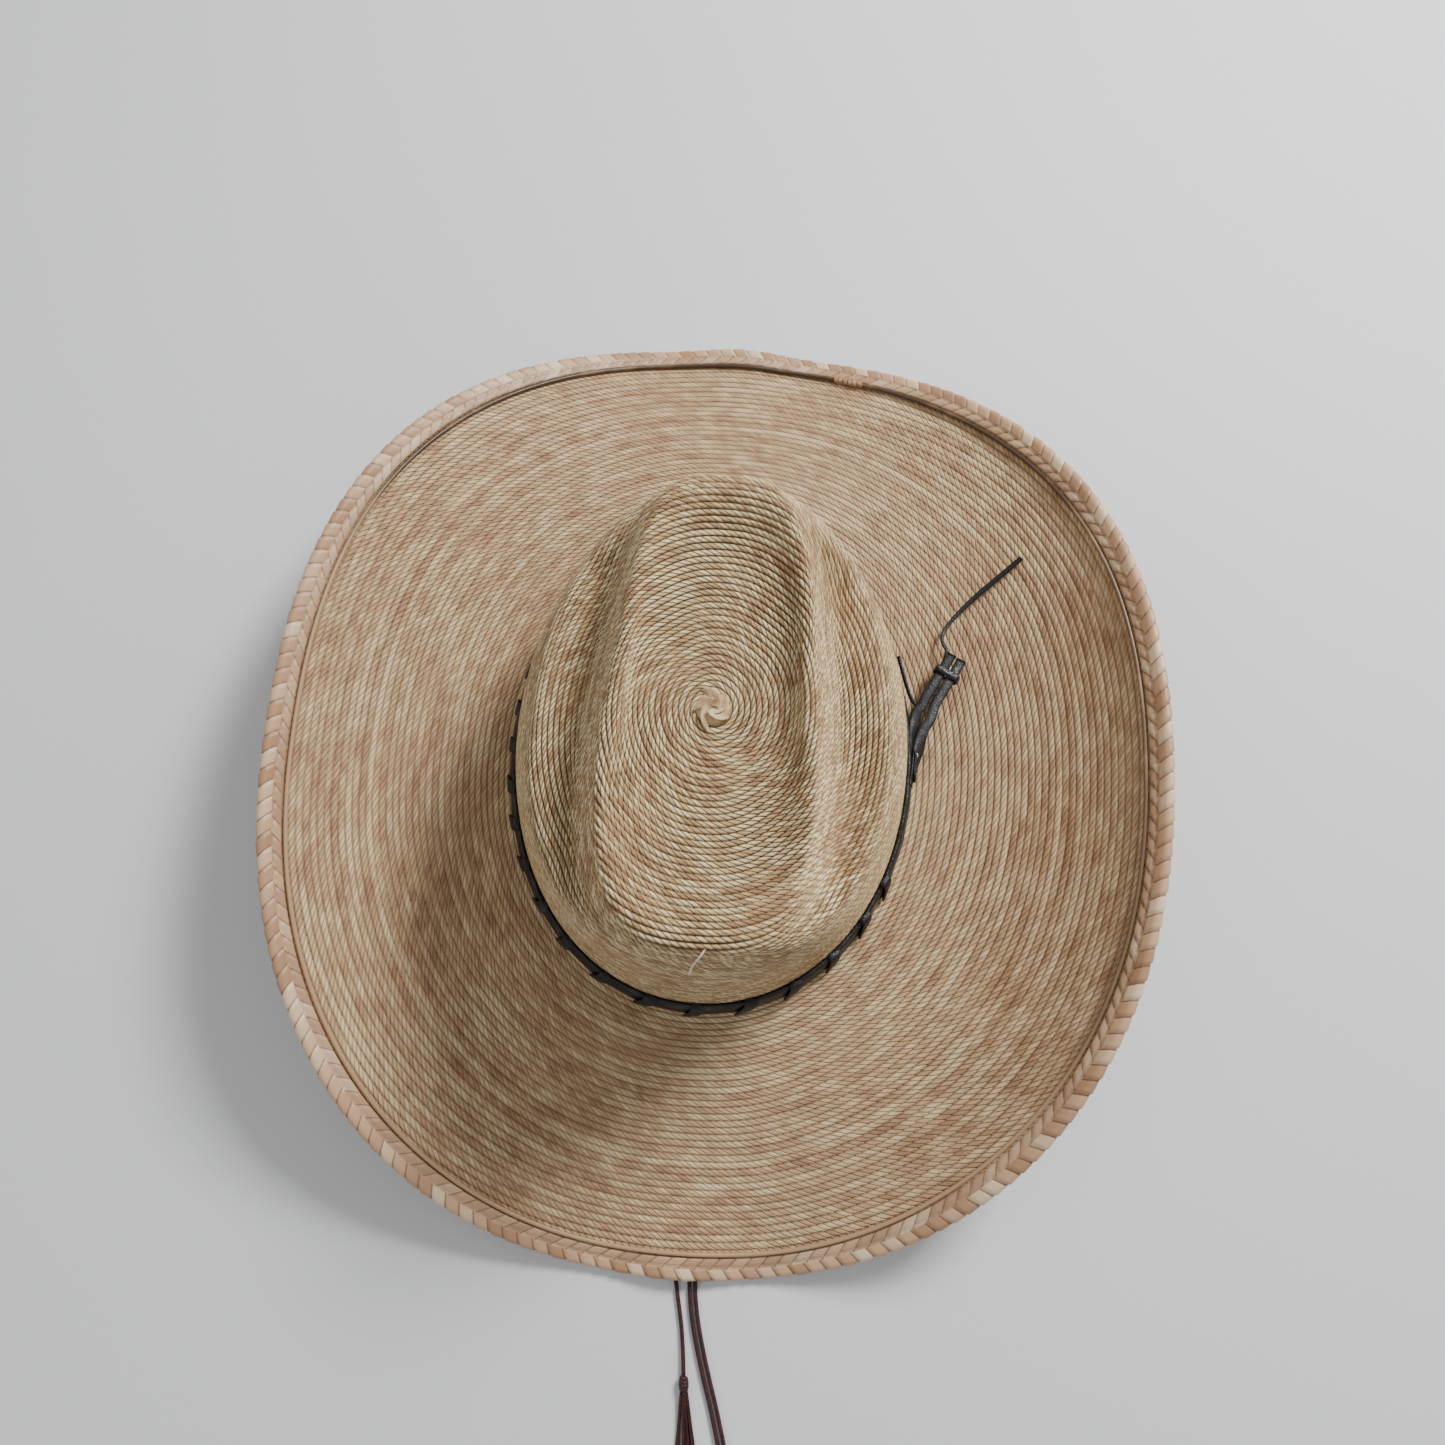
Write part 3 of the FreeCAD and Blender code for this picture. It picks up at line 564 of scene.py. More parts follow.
def edge_frame(angle):
    """Where the plait starts: share of the brim, radius, height, and slope as (cos, sin)."""
    outer, near = brim_point(angle, 1.0), brim_point(angle, 0.97)
    run, rise = outer[0] - near[0], outer[1] - near[1]
    size = np.hypot(run, rise)
    share = 1.0 - edge_width * (run / size) / (edge_radius(angle) - base_radius(angle))
    radius, height = brim_point(angle, share)
    return share, radius, height, run / size, rise / size


def brim_profile(angle):
    end_share = edge_frame(angle)[0] + 0.012
    base = base_radius(angle)
    line = [(wall_radius(angle, collar), collar), (base, 0.8), (base + 3.0, 0.0)]
    return line + [brim_point(angle, mix(0.08, end_share, k / 8)) for k in range(9)]


def brim_relief(angle, part):
    return 0.34 + 0.10 * smooth_step(0.3, 1.0, part) * (1.0 + np.sin(3 * angle)) / 2


brim_palm = palm_leaf(
    "brim palm", cream=(0.77, 0.57, 0.325), tan=(0.55, 0.355, 0.19), brown=(0.37, 0.205, 0.108),
    groove_shade=(0.11, 0.055, 0.028), row_shade=0.62, strand_shade=0.32, strand_tone=0.26, slit_shade=0.22,
)
brim = woven_shell(
    "brim", brim_profile, brim_rows, columns=1080, lines=4, pitch=3.2, growth=0.10,
    relief=brim_relief, material=brim_palm,
)
settle(brim, "palm", "brim_weave")

# ---------------------------------------------------------------- plaited edge
# A flat herringbone plait of broad leaf strips, folded round the raw edge of the brim and
# lashed down. The outer strips show as long overlapping lobes, the inner ones as a darker rank.
lobe = 6.9
rank_split = 3.9
inner_lean, outer_lean = 0.16, -0.085           # lobes passed for each millimetre across


def edge_outline():
    """Section of the plait as (out, up) and the distance round it, from the inner top edge."""
    half = edge_thickness / 2
    flat = edge_width - half
    line = [(0.1 + (rank_split - 0.1) * k / 5, half) for k in range(6)]
    line += [(rank_split + (flat - rank_split) * k / 4, half) for k in range(1, 5)]
    for k in range(1, 10):
        turn = math.pi / 2 - math.pi * k / 10
        line.append((flat + half * math.cos(turn), half * math.sin(turn)))
    line += [(flat + (0.1 - flat) * k / 9, -half) for k in range(0, 10)]
    line += [(0.1, -half / 3), (0.1, half / 3)]
    return np.array(line)


def edge_plait():
    columns = 1500
    angle = np.linspace(0, 2 * np.pi, columns + 1)[:-1]
    _, radius, height, run, rise = edge_frame(angle)
    line = edge_outline()
    count = len(line)
    ring_steps = np.linalg.norm(np.roll(line, -1, 0) - line, axis=1)
    way = np.concatenate([[0.0], np.cumsum(ring_steps)[:-1]])
    edge_line = in_space(angle, edge_radius(angle), height)
    along = np.linalg.norm(np.roll(edge_line, -1, 0) - edge_line, axis=1)
    girth = along.sum()
    lobes = round(girth / lobe)
    phase = np.concatenate([[0.0], np.cumsum(along)]) / girth * lobes
    before, after = np.roll(line, 1, 0), np.roll(line, -1, 0)
    facing = after - before
    facing = np.stack([-facing[:, 1], facing[:, 0]], -1)
    facing /= np.linalg.norm(facing, axis=1, keepdims=True)
    inner_rank = way < rank_split - 0.05
    lean = np.where(inner_rank, inner_lean * way, outer_lean * (way - rank_split))
    step = phase[:-1, None] + lean[None, :]
    part = step - np.floor(step)
    shingle = smooth_step(0.0, 0.20, part) * (1.0 - 0.55 * part) * (1 - smooth_step(0.93, 1.0, part))
    seam = smooth_step(0.0, 0.9, np.abs(way - rank_split)) * smooth_step(0.0, 0.8, way)
    body = (way < way[-3]).astype(float)
    bump = 0.95 * (shingle * seam[None, :] * body[None, :] - 0.35 * body[None, :])
    bump -= 0.45 * (1.0 - smooth_step(-edge_thickness / 2, 0.0, line[:, 1]))
    out = line[None, :, 0] + facing[None, :, 0] * bump
    up = line[None, :, 1] + facing[None, :, 1] * bump - weave / 2
    r = radius[:, None] + run[:, None] * out - rise[:, None] * up
    z = height[:, None] + rise[:, None] * out + run[:, None] * up
    points = in_space(angle[:, None], r, z)
    i, j = np.meshgrid(np.arange(columns), np.arange(count), indexing="ij")
    corner = [(i, j), (i, j + 1), (i + 1, j + 1), (i + 1, j)]
    faces = np.stack([(a % columns) * count + b % count for a, b in corner], -1).reshape(-1, 4)
    rank = np.where(way[:, None].ravel()[j] < rank_split - 0.05, 0, 1)
    way_end = np.append(way, way[-1] + ring_steps[-1])
    uv = []
    for a, b in corner:
        w = way_end[b]
        slope = np.where(rank == 0, inner_lean * w, outer_lean * (w - rank_split))
        uv.append(np.stack([phase[a] + slope, rank + 0.04 * w], -1))
    return points, faces.tolist(), np.stack(uv, 2).reshape(-1, 2)


def plait_leaf(name):
    """Broad glossy leaf: each lobe its own tan, cream or brown, with painted shade at the overlaps."""
    material, tree, shader = new_material(name)
    step, rank = uv_parts(tree)
    which = calc(tree, "FLOOR", rank)
    tone = chance(tree, calc(tree, "MULTIPLY_ADD", which, 733.0, calc(tree, "FLOOR", step)))
    region = noise(tree, position(tree), 22.0, 2.0)
    mixed = calc(tree, "MULTIPLY_ADD", calc(tree, "SUBTRACT", region, 0.5), 0.9, tone)
    colour = colour_mix(tree, spread(tree, mixed, 0.05, 0.55), (0.42, 0.235, 0.125), (0.60, 0.37, 0.215))
    colour = colour_mix(tree, spread(tree, mixed, 0.62, 1.0), colour, (0.76, 0.58, 0.38))
    colour = colour_mix(tree, calc(tree, "MULTIPLY", spread(tree, which, 1.0, 0.0), 0.45),
                        colour, (0.42, 0.27, 0.16))
    # Painted shade: each lobe darkens towards its ends, where the lobes overlap.
    edge = spread(tree, middle_distance(tree, step), 0.80, 1.0)
    tree.links.new(colour_mix(tree, calc(tree, "MULTIPLY", edge, 0.75), colour, (0.15, 0.07, 0.03)),
                   shader.inputs["Base Color"])
    fibre = noise(tree, joined(tree, calc(tree, "MULTIPLY", step, 0.7),
                               calc(tree, "MULTIPLY", rank, 60.0)), 1.0, 3.0)
    add_bump(tree, shader, fibre, 0.0003, 0.5)
    tree.links.new(spread(tree, fibre, 0.2, 0.8, 0.34, 0.52), shader.inputs["Roughness"])
    return material


points, faces, uv = edge_plait()
settle(make_piece("edge_binding", points, faces, plait_leaf("edge leaf"), uv=uv), "palm_edge", "edge_plait")

# ---------------------------------------------------------------- edge wire
# A wire runs just inside the plait and holds the curl. It is leaf-coloured, and worn to its dark
# varnish along the front and the right. Its ends lap near the front, lashed with a strip of leaf.
wire_diameter, wire_clearance = 1.8, 0.5


def wire_line(angle):
    _, radius, height, run, rise = edge_frame(angle)
    back, up = -(wire_diameter / 2 + 0.2), wire_diameter / 2 + wire_clearance
    return in_space(angle, radius + run * back - rise * up, height + rise * back + run * up)


def ring_faces(rings, count):
    """Faces between rings of count points each, where the last ring meets the first."""
    i, j = np.meshgrid(np.arange(rings), np.arange(count), indexing="ij")
    ahead, after = (i + 1) % rings, (j + 1) % count
    faces = np.stack([i * count + j, i * count + after, ahead * count + after, ahead * count + j], -1)
    return faces.reshape(-1, 4).tolist()


def closed_tube(way, radius, sides):
    """A tube round a closed line."""
    heading = np.roll(way, -1, 0) - np.roll(way, 1, 0)
    heading /= np.linalg.norm(heading, axis=1, keepdims=True)
    side = np.cross(heading, (0, 0, 1))
    side /= np.linalg.norm(side, axis=1, keepdims=True)
    up = np.cross(side, heading)
    turn = np.linspace(0, 2 * np.pi, sides + 1)[:-1]
    rings = way[:, None] + radius * (side[:, None] * np.cos(turn)[None, :, None]
                                     + up[:, None] * np.sin(turn)[None, :, None])
    return rings.reshape(-1, 3), ring_faces(len(way), sides)


def varnished_wire(name):
    material, tree, shader = new_material(name)
    split = tree.nodes.new("ShaderNodeSeparateXYZ")
    tree.links.new(position(tree), split.inputs[0])
    front = spread(tree, split.outputs["Y"], 0.06, 0.13)
    right = spread(tree, split.outputs["X"], 0.13, 0.165, 0.0, 0.75)
    bare = calc(tree, "MAXIMUM", front, right)
    patchy = spread(tree, noise(tree, position(tree), 60.0, 4.0), 0.30, 0.50, 0.6, 1.0)
    bare = calc(tree, "MULTIPLY", bare, patchy)
    colour = colour_mix(tree, bare, (0.44, 0.28, 0.155), (0.07, 0.038, 0.020))
    tree.links.new(colour, shader.inputs["Base Color"])
    shader.inputs["Roughness"].default_value = 0.38
    add_bump(tree, shader, noise(tree, position(tree), 900.0, 2.0), 0.0002, 0.5)
    return material


wire_way = wire_line(np.linspace(0, 2 * np.pi, 721)[:-1])
wire_tube = closed_tube(wire_way, wire_diameter / 2, 10)
settle(make_piece("edge_wire_line", *wire_tube, varnished_wire("wire varnish")), "wire", "edge_wire")

splice_leaf = dry_leaf("splice leaf", (0.50, 0.31, 0.17), (0.25, 0.13, 0.07), 420.0)
splice_place = math.radians(75.0)
splice_turns, splice_radius = 6, 1.25
splice_pitch = 0.0115                             # angle round the hat from one turn to the next


def splice_wrap():
    """Six turns of leaf round the lap."""
    parts = []
    for k in range(splice_turns):
        centre = splice_place + (k - (splice_turns - 1) / 2) * splice_pitch
        around = np.linspace(-0.5, 3.7, 12)
        here = wire_line(np.full(12, centre) + np.linspace(-0.004, 0.004, 12))
        inward = np.array([-math.cos(centre), -math.sin(centre), 0.0])
        line = here + np.outer(np.cos(around), inward) * splice_radius
        line = line + np.outer(np.sin(around), (0, 0, 1)) * splice_radius
        facing = line - here
        parts.append(leaf_blade(line, 2.3, 0.35, facing))
    return gather(parts)


settle(make_piece("wire_lap", *splice_wrap(), splice_leaf), "palm_edge", "wire_splice")

# ---------------------------------------------------------------- sweatband
# A strip of tan leather is sewn round the inside of the crown's foot with a zigzag seam over a
# cloth-covered reed. Its ends meet at the back under a patch and a small ribbon bow.
def sweat_leather(name):
    material, tree, shader = new_material(name)
    where = position(tree)
    worn = spread(tree, noise(tree, where, 34.0, 4.0), 0.40, 0.68)
    colour = colour_mix(tree, worn, (0.27, 0.14, 0.07), (0.42, 0.25, 0.14))
    tree.links.new(colour, shader.inputs["Base Color"])
    grain = tree.nodes.new("ShaderNodeTexVoronoi")
    grain.inputs["Scale"].default_value = 1100.0
    tree.links.new(where, grain.inputs["Vector"])
    add_bump(tree, shader, grain.outputs["Distance"], 0.0003, 0.5)
    tree.links.new(spread(tree, worn, 0.0, 1.0, 0.42, 0.58), shader.inputs["Roughness"])
    return material


def woven_tape(name, light, dark, scale):
    """Fine cloth: crossing threads, a little uneven."""
    material, tree, shader = new_material(name)
    split = tree.nodes.new("ShaderNodeSeparateXYZ")
    tree.links.new(position(tree), split.inputs[0])
    waves = [calc(tree, "SINE", calc(tree, "MULTIPLY", split.outputs[k], scale)) for k in range(3)]
    cross = calc(tree, "MULTIPLY", calc(tree, "ADD", waves[0], waves[1]), waves[2])
    share = spread(tree, cross, -1.2, 1.2)
    tree.links.new(colour_mix(tree, share, dark, light), shader.inputs["Base Color"])
    add_bump(tree, shader, cross, 0.00015, 0.6)
    shader.inputs["Roughness"].default_value = 0.8
    return material


def finish_node(node, material):
    """A CAD piece that stays as it is takes a better material."""
    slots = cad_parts[node].data.materials
    slots.clear()
    slots.append(material)


band_tan = sweat_leather("sweatband leather")
for node in ("sweatband", "sweatband_seam"):
    finish_node(node, band_tan)
reed_cloth = woven_tape("reed cloth", (0.56, 0.48, 0.36), (0.34, 0.28, 0.20), 5200.0)
seam_thread = woven_tape("seam thread", (0.74, 0.66, 0.50), (0.45, 0.38, 0.27), 9000.0)
bow_ribbon = woven_tape("bow ribbon", (0.035, 0.035, 0.038), (0.008, 0.008, 0.009), 7000.0)
finish_node("sweatband_reed", reed_cloth)
finish_node("sweatband_stitches", seam_thread)
finish_node("sweatband_bow", bow_ribbon)

# ---------------------------------------------------------------- hat band
# A black leather strap stands on edge round the foot of the crown. Thongs are laced over it at
# even steps, and three black stitches tack it to the weave.
band_gap, band_thickness, band_height = 0.4, 2.0, 10.0
lacing_pitch = 18.5
tie_start, tie_end = -0.5, 0.75                   # directions between which no thong is laced
tack_places = (-19.5, 95.0, 178.0)                # degrees round the crown


def black_leather(name, dark, worn, roughness=(0.30, 0.50)):
    """Black dyed leather with a fine grain, greyer and shinier where it is rubbed."""
    material, tree, shader = new_material(name)
    where = position(tree)
    rubbed = spread(tree, noise(tree, where, 130.0, 5.0), 0.48, 0.70)
    grain = tree.nodes.new("ShaderNodeTexVoronoi")
    grain.inputs["Scale"].default_value = 1500.0
    tree.links.new(where, grain.inputs["Vector"])
    tree.links.new(colour_mix(tree, rubbed, dark, worn), shader.inputs["Base Color"])
    creases = calc(tree, "ADD", grain.outputs["Distance"], noise(tree, where, 420.0, 3.0))
    add_bump(tree, shader, creases, 0.00025, 0.6)
    tree.links.new(spread(tree, rubbed, 0.0, 1.0, roughness[1], roughness[0]), shader.inputs["Roughness"])
    return material


band_black = black_leather("band leather", (0.007, 0.007, 0.008), (0.028, 0.028, 0.030))


def strap_ring():
    """The strap: a rounded strip on edge, a little fuller in the middle, its edge wavy."""
    columns = 720
    angle = np.linspace(0, 2 * np.pi, columns + 1)[:-1]
    inner = band_gap
    outer = band_gap + band_thickness
    low, high = band_foot, band_foot + band_height
    section = [(inner, low + 0.6), (inner, low + 3.5), (inner, high - 3.5), (inner, high - 0.6)]
    section += [(inner + 0.4, high - 0.1), (inner + 1.0, high + 0.1), (outer - 0.4, high - 0.1)]
    section += [(outer, high - 0.6), (outer + 0.3, high - 3.5), (outer + 0.8, low + 3.5)]
    section += [(outer + 0.9, low + 0.6), (outer + 0.5, low + 0.1)]
    section += [(inner + 1.0, low), (inner + 0.4, low + 0.1)]
    wave = 0.12 * np.sin(23 * angle) + 0.10 * np.sin(41 * angle + 1.0)
    rows = []
    for out, height in section:
        radius = wall_radius(angle, height) + out + 0.10 * np.sin(31 * angle)
        rows.append(in_space(angle, radius, height + wave * (height > band_foot + 5)))
    return np.stack(rows, 1).reshape(-1, 3), ring_faces(columns, len(section))


settle(make_piece("hat_band_strap", *strap_ring(), band_black), "band_leather", "hat_band")


def wall_axes(angle):
    """Outwards from the crown's wall and along it, at one direction."""
    step = 0.01
    nearby = np.array([angle - step, angle + step])
    way = in_space(nearby, base_radius(nearby), 0.0)
    along = (way[1] - way[0]) / np.linalg.norm(way[1] - way[0])
    return np.cross(along, (0.0, 0.0, 1.0)), along


def band_thong(angle, seed):
    """A thong that comes up behind the strap, crosses its face on the slant and goes under."""
    out, along = wall_axes(angle)
    outer = band_gap + band_thickness
    top = band_foot + band_height
    slip = 0.6 * math.sin(seed * 2.3)
    line = [(0.9, 2.4 + slip, top + 0.35), (outer + 0.1, 2.0 + slip, top + 0.5)]
    line += [(outer + 1.0, 1.6 + slip, top - 0.9)]
    line += [(outer + 1.5, 0.0, band_foot + 5.0), (outer + 1.5, -1.8, band_foot + 1.0)]
    line += [(outer + 0.9, -2.1, band_foot - 0.2)]
    points = []
    for depth, slide, height in line:
        foot = in_space(angle, wall_radius(angle, height), height)
        points.append(foot + out * depth + along * slide)
    points = smooth_way(points, 4)
    share = np.linspace(0, 1, len(points))
    facing = np.outer(np.sin(np.pi * np.clip(share * 1.1, 0, 1)), out) + np.outer(1 - share, (0, 0, 1)) * 0.8
    facing = facing + np.outer(share, (0, 0, -1)) * 0.3
    return leaf_blade(points, 5.6, 1.2, facing)


def all_thongs():
    count = round(math.pi * (crown_half_length + crown_half_width) / lacing_pitch)
    parts = []
    for k in range(count):
        angle = 2 * math.pi * k / count
        if not tie_start < (angle + math.pi) % (2 * math.pi) - math.pi < tie_end:
            parts.append(band_thong(angle, k))
    return gather(parts)


settle(make_piece("band_thongs", *all_thongs(), band_black), "band_leather", "band_lacing")


def tack_stitch(degrees):
    """Two strands of waxed thread lying together on the weave."""
    angle = math.radians(degrees)
    out, along = wall_axes(angle)
    parts = []
    for shift in (-0.35, 0.35):
        points = []
        for part in np.linspace(0, 1, 9):
            height = band_foot + band_height + 0.7 + 5.2 * part
            depth = 0.25 + 0.75 * math.sin(math.pi * part)
            foot = in_space(angle, wall_radius(angle, height), height)
            points.append(foot + out * depth + along * (shift + 1.5 * part - 0.7))
        parts.append(leaf_blade(points, 0.75, 0.75, out))
    return gather(parts)


waxed_thread = woven_tape("waxed thread", (0.030, 0.028, 0.028), (0.008, 0.008, 0.008), 8000.0)
settle(make_piece("tack_stitches", *gather([tack_stitch(d) for d in tack_places]), waxed_thread),
       "black_thread", "band_tacks")

# ---------------------------------------------------------------- tie of the band
# The strap's two ends leave the crown on the wearer's right, lie side by side and pass through
# a leather keeper that slides on them. The inner end's tab is riveted back on the band.
strap_width, strap_thickness, strap_height, strap_gap = 4.4, 1.6, 7.6, 0.7
strap_lead, strap_angle = 24.0, math.radians(62.0)
strap_end = np.array([105.2, 53.0, 0.0])
keeper_length, keeper_wall, keeper_clearance, keeper_place = 3.0, 0.9, 0.35, 9.0
lace_diameter = 1.8
strap_along = np.array([math.cos(strap_angle), math.sin(strap_angle), 0.0])
strap_across = np.array([strap_along[1], -strap_along[0], 0.0])


def strap(side, foot, root):
    """One end of the strap: it leaves the band on edge, twists flat and is cut straight."""
    flat_height = lift + strap_height + strap_thickness / 2
    tip = strap_end + strap_across * side * (strap_width + strap_gap) / 2
    bend = tip - strap_along * strap_lead
    foot, root = np.array(foot), np.array(root)
    middle = (root + bend) / 2 + np.cross(bend - root, (0, 0, 1)) * 0.05
    points = smooth_way([foot, (foot + root) / 2, root, middle, bend, (bend + tip) / 2, tip], 8)
    twist = smooth_step(0.0, 0.42, np.linspace(0, 1, len(points)))
    points[:, 2] = mix(lift + band_foot + band_height / 2, flat_height, twist)
    facing = np.outer(1 - twist, (1.0, -0.1, 0.25)) + np.outer(twist, (0, 0, 1))
    return leaf_blade(points, mix(8.0, strap_width, twist), mix(1.3, strap_thickness, twist), facing)


# Both strap ends are one leather: the front end's copy is painted darker as shade, the back end's painted
# greyer as sheen.
shaded_strap_leather = black_leather(
    "front strap painted shade leather", (0.005, 0.005, 0.006), (0.018, 0.018, 0.020),
    roughness=(0.36, 0.56),
)
sheen_strap_leather = black_leather(
    "back strap painted sheen leather", (0.010, 0.011, 0.012), (0.045, 0.047, 0.050),
    roughness=(0.28, 0.48),
)
front = strap(-1, (86.2, 6.0, 0.0), (88.0, 26.0, 0.0))
back = strap(1, (86.5, -6.0, 0.0), (90.9, 17.5, 0.0))
settle(make_piece("front_strap", *front, shaded_strap_leather), "band_leather", "band_strap_front")
settle(make_piece("back_strap", *back, sheen_strap_leather), "band_leather", "band_strap_back")


def keeper_loop():
    """The keeper: a narrow strip bent round both straps and the lace, its corners rounded."""
    centre = strap_end - strap_along * keeper_place
    half = strap_width + strap_gap / 2 + keeper_clearance
    low = strap_height - lace_diameter - 3 * keeper_clearance
    high = strap_height + strap_thickness + keeper_clearance
    middle, tall = (low + high) / 2, (high - low) / 2
    around = np.linspace(0, 2 * np.pi, 57)[:-1]
    square = (np.abs(np.cos(around)) ** 7 + np.abs(np.sin(around)) ** 7) ** (-1 / 7)
    across = np.cos(around) * square * (half + keeper_wall / 2)
    rise = np.sin(around) * square * (tall + keeper_wall / 2)
    line = centre + np.outer(across, strap_across) + np.outer(rise + middle + lift, (0, 0, 1))
    facing = np.outer(np.cos(around) * tall, strap_across) + np.outer(np.sin(around) * half, (0, 0, 1))
    facing /= np.linalg.norm(facing, axis=1, keepdims=True)
    half_wall, half_length = keeper_wall / 2, keeper_length / 2
    section = [(-half_wall, -half_length + 0.15), (-half_wall, 0.0), (-half_wall, half_length - 0.15)]
    section += [(-half_wall + 0.15, half_length), (half_wall - 0.25, half_length)]
    section += [(half_wall, half_length - 0.25), (half_wall + 0.12, 0.0), (half_wall, -half_length + 0.25)]
    section += [(half_wall - 0.25, -half_length), (-half_wall + 0.15, -half_length)]
    rings = [line + facing * up + strap_along * side for up, side in section]
    points = np.stack(rings, 1)
    count = len(section)
    i, j = np.meshgrid(np.arange(len(line)), np.arange(count), indexing="ij")
    ahead, after = (i + 1) % len(line), (j + 1) % count
    faces = np.stack([i * count + j, ahead * count + j, ahead * count + after, i * count + after], -1)
    return points.reshape(-1, 3), faces.reshape(-1, 4)[:, ::-1].tolist()


keeper_black = black_leather(
    "keeper leather", (0.006, 0.006, 0.007), (0.020, 0.020, 0.022),
    roughness=(0.20, 0.34),
)
settle(make_piece("keeper", *keeper_loop(), keeper_black), "keeper_leather", "band_keeper", body="keeper")


def tab():
    """The tab, rounded at its ends, lying back on the band's face."""
    low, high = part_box("band_tab")
    centre = (np.array(low) + np.array(high)) / 2 / mm
    length, height = (high.y - low.y) / mm, (high.z - low.z) / mm
    share = np.linspace(0, 1, 25)
    slide = (share - 0.5) * length
    past_flat = np.clip(np.abs(slide) - (length - height) / 2, 0, None) / (height / 2)
    round_end = np.sqrt(np.clip(1 - past_flat ** 2, 0.04, 1))
    curl = centre[0] + 0.25 * np.cos(share * 9)
    points = np.stack([curl, centre[1] + slide, np.full(25, centre[2])], -1)
    return leaf_blade(points, height * round_end, (high.x - low.x) / mm, (1, 0, 0))


settle(make_piece("riveted_tab", *tab(), band_black), "band_leather", "band_tab")


def brushed_steel(name):
    material, tree, shader = new_material(name)
    scratches = noise(tree, position(tree), 1600.0, 4.0)
    colour = colour_mix(tree, scratches, (0.55, 0.55, 0.56), (0.85, 0.85, 0.86))
    tree.links.new(colour, shader.inputs["Base Color"])
    shader.inputs["Metallic"].default_value = 1.0
    tree.links.new(spread(tree, scratches, 0.3, 0.7, 0.16, 0.36), shader.inputs["Roughness"])
    return material


finish_node("band_rivet", brushed_steel("rivet steel"))

# ---------------------------------------------------------------- lace
# A flat leather lace comes down beside the band, turns back round a small bight, runs through
# the keeper under the front strap, and its tail springs out over the brim to a square end.
lane = strap_end - strap_across * (strap_width + strap_gap / 2 - lace_diameter / 2 - 0.1)
lane_height = strap_height - keeper_clearance - lace_diameter / 2
lace_route = [(79.4, 51.8, 8.0), (81.4, 44.8, 8.0), (83.6, 37.9, 7.6), (85.7, 32.7, 7.2)]
lace_route += [(88.2, 29.9, 6.8), (91.2, 30.6, 6.5), (92.8, 33.6, lane_height)]
lace_route += [(*(lane - strap_along * back)[:2], lane_height) for back in (19.0, -1.0)]
lace_route += [(98.9, 60.2, 5.4), (99.4, 65.2, 4.8), (102.4, 70.4, 4.7), (108.2, 77.4, 5.8)]
lace_route += [(115.7, 84.8, 8.8), (122.9, 91.1, 12.4), (131.3, 98.4, 17.6)]


def flowing_line(points):
    """Points along a smooth spline that has these points, in millimetres, as its controls."""
    curve = bpy.data.curves.new("route", "CURVE")
    curve.dimensions = "3D"
    curve.resolution_u = 24
    spline = curve.splines.new("NURBS")
    spline.points.add(len(points) - 1)
    for control, point in zip(spline.points, points):
        control.co = (*point, 1.0)
    spline.order_u = 3
    spline.use_endpoint_u = True
    holder = bpy.data.objects.new("route", curve)
    bpy.context.scene.collection.objects.link(holder)
    bpy.context.view_layer.update()
    line = bpy.data.meshes.new_from_object(holder)
    found = np.array([vertex.co for vertex in line.vertices])
    bpy.data.objects.remove(holder)
    bpy.data.curves.remove(curve)
    bpy.data.meshes.remove(line)
    return found


def even_steps(points, step):
    """The same line with its points an even step apart."""
    way = np.concatenate([[0.0], np.cumsum(np.linalg.norm(np.diff(points, axis=0), axis=1))])
    places = np.linspace(0, way[-1], max(2, round(way[-1] / step)) + 1)
    return np.stack([np.interp(places, way, points[:, k]) for k in range(3)], -1)


lace_way = even_steps(flowing_line([(x, y, z + lift) for x, y, z in lace_route]), 0.8)
lace_share = np.linspace(0, 1, len(lace_way))
on_edge = smooth_step(0.0, 0.42, lace_share)
lace_facing = np.outer(1 - on_edge, (-0.82, 0.45, 0.35)) + np.outer(on_edge, (0.0, 0.0, 1.0))
lace_width = mix(1.7, 2.3, smooth_step(0.62, 0.80, lace_share))
# The lace takes the front strap's leather, with its painted shade.
lace = make_piece("lace", *leaf_blade(lace_way, lace_width, 1.1, lace_facing), shaded_strap_leather)
settle(lace, "band_leather", "band_lace")

# ---------------------------------------------------------------- chin tabs
# Two leather tabs hang from the sweatband, one each side, with a hole for the chin cord. Their
# cut edges are left raw.
tab_tan = sweat_leather("chin tab leather")
for node in ("chin_tab_left", "chin_tab_right"):
    finish_node(node, tab_tan)

# ---------------------------------------------------------------- chin cords
# Dark red braided cord, tied to each tab. The cords drop to the surface that the hat rests on
# and run out under the back of the brim: one on the left, and a doubled one on the right. Each
# ends in a tight knot and a tassel of its own loose threads.
cord_diameter, pair_spacing = 1.8, 2.4
braid_strands, braid_twist = 4, 4.2
knot_length, knot_height, knot_width = 7.0, 4.4, 4.6
anchor_length = knot_length - 1.6
tassel_length = 44.0
left_route = [(-67.5, -20.5, 1.8), (-61.5, -33.0, 0), (-55.0, -50.0, 0), (-45.5, -80.0, 0)]
left_route += [(-34.5, -113.0, 0), (-23.0, -146.0, 0), (-10.5, -180.0, 0), (-2.6, -205.0, 0)]
left_route += [(1.2, -222.0, 0), (4.6, -238.0, 0), (5.8, -251.0, 0.7)]
outer_route = [(68.6, -21.0, 1.8), (63.6, -34.0, 0), (57.5, -51.0, 0), (48.5, -82.0, 0)]
outer_route += [(37.0, -115.0, 0), (26.5, -149.0, 0), (13.4, -183.0, 0), (6.0, -207.0, 0)]
outer_route += [(7.6, -226.0, 0), (13.0, -246.0, 0), (20.6, -268.0, 0), (25.6, -286.0, 0.7)]


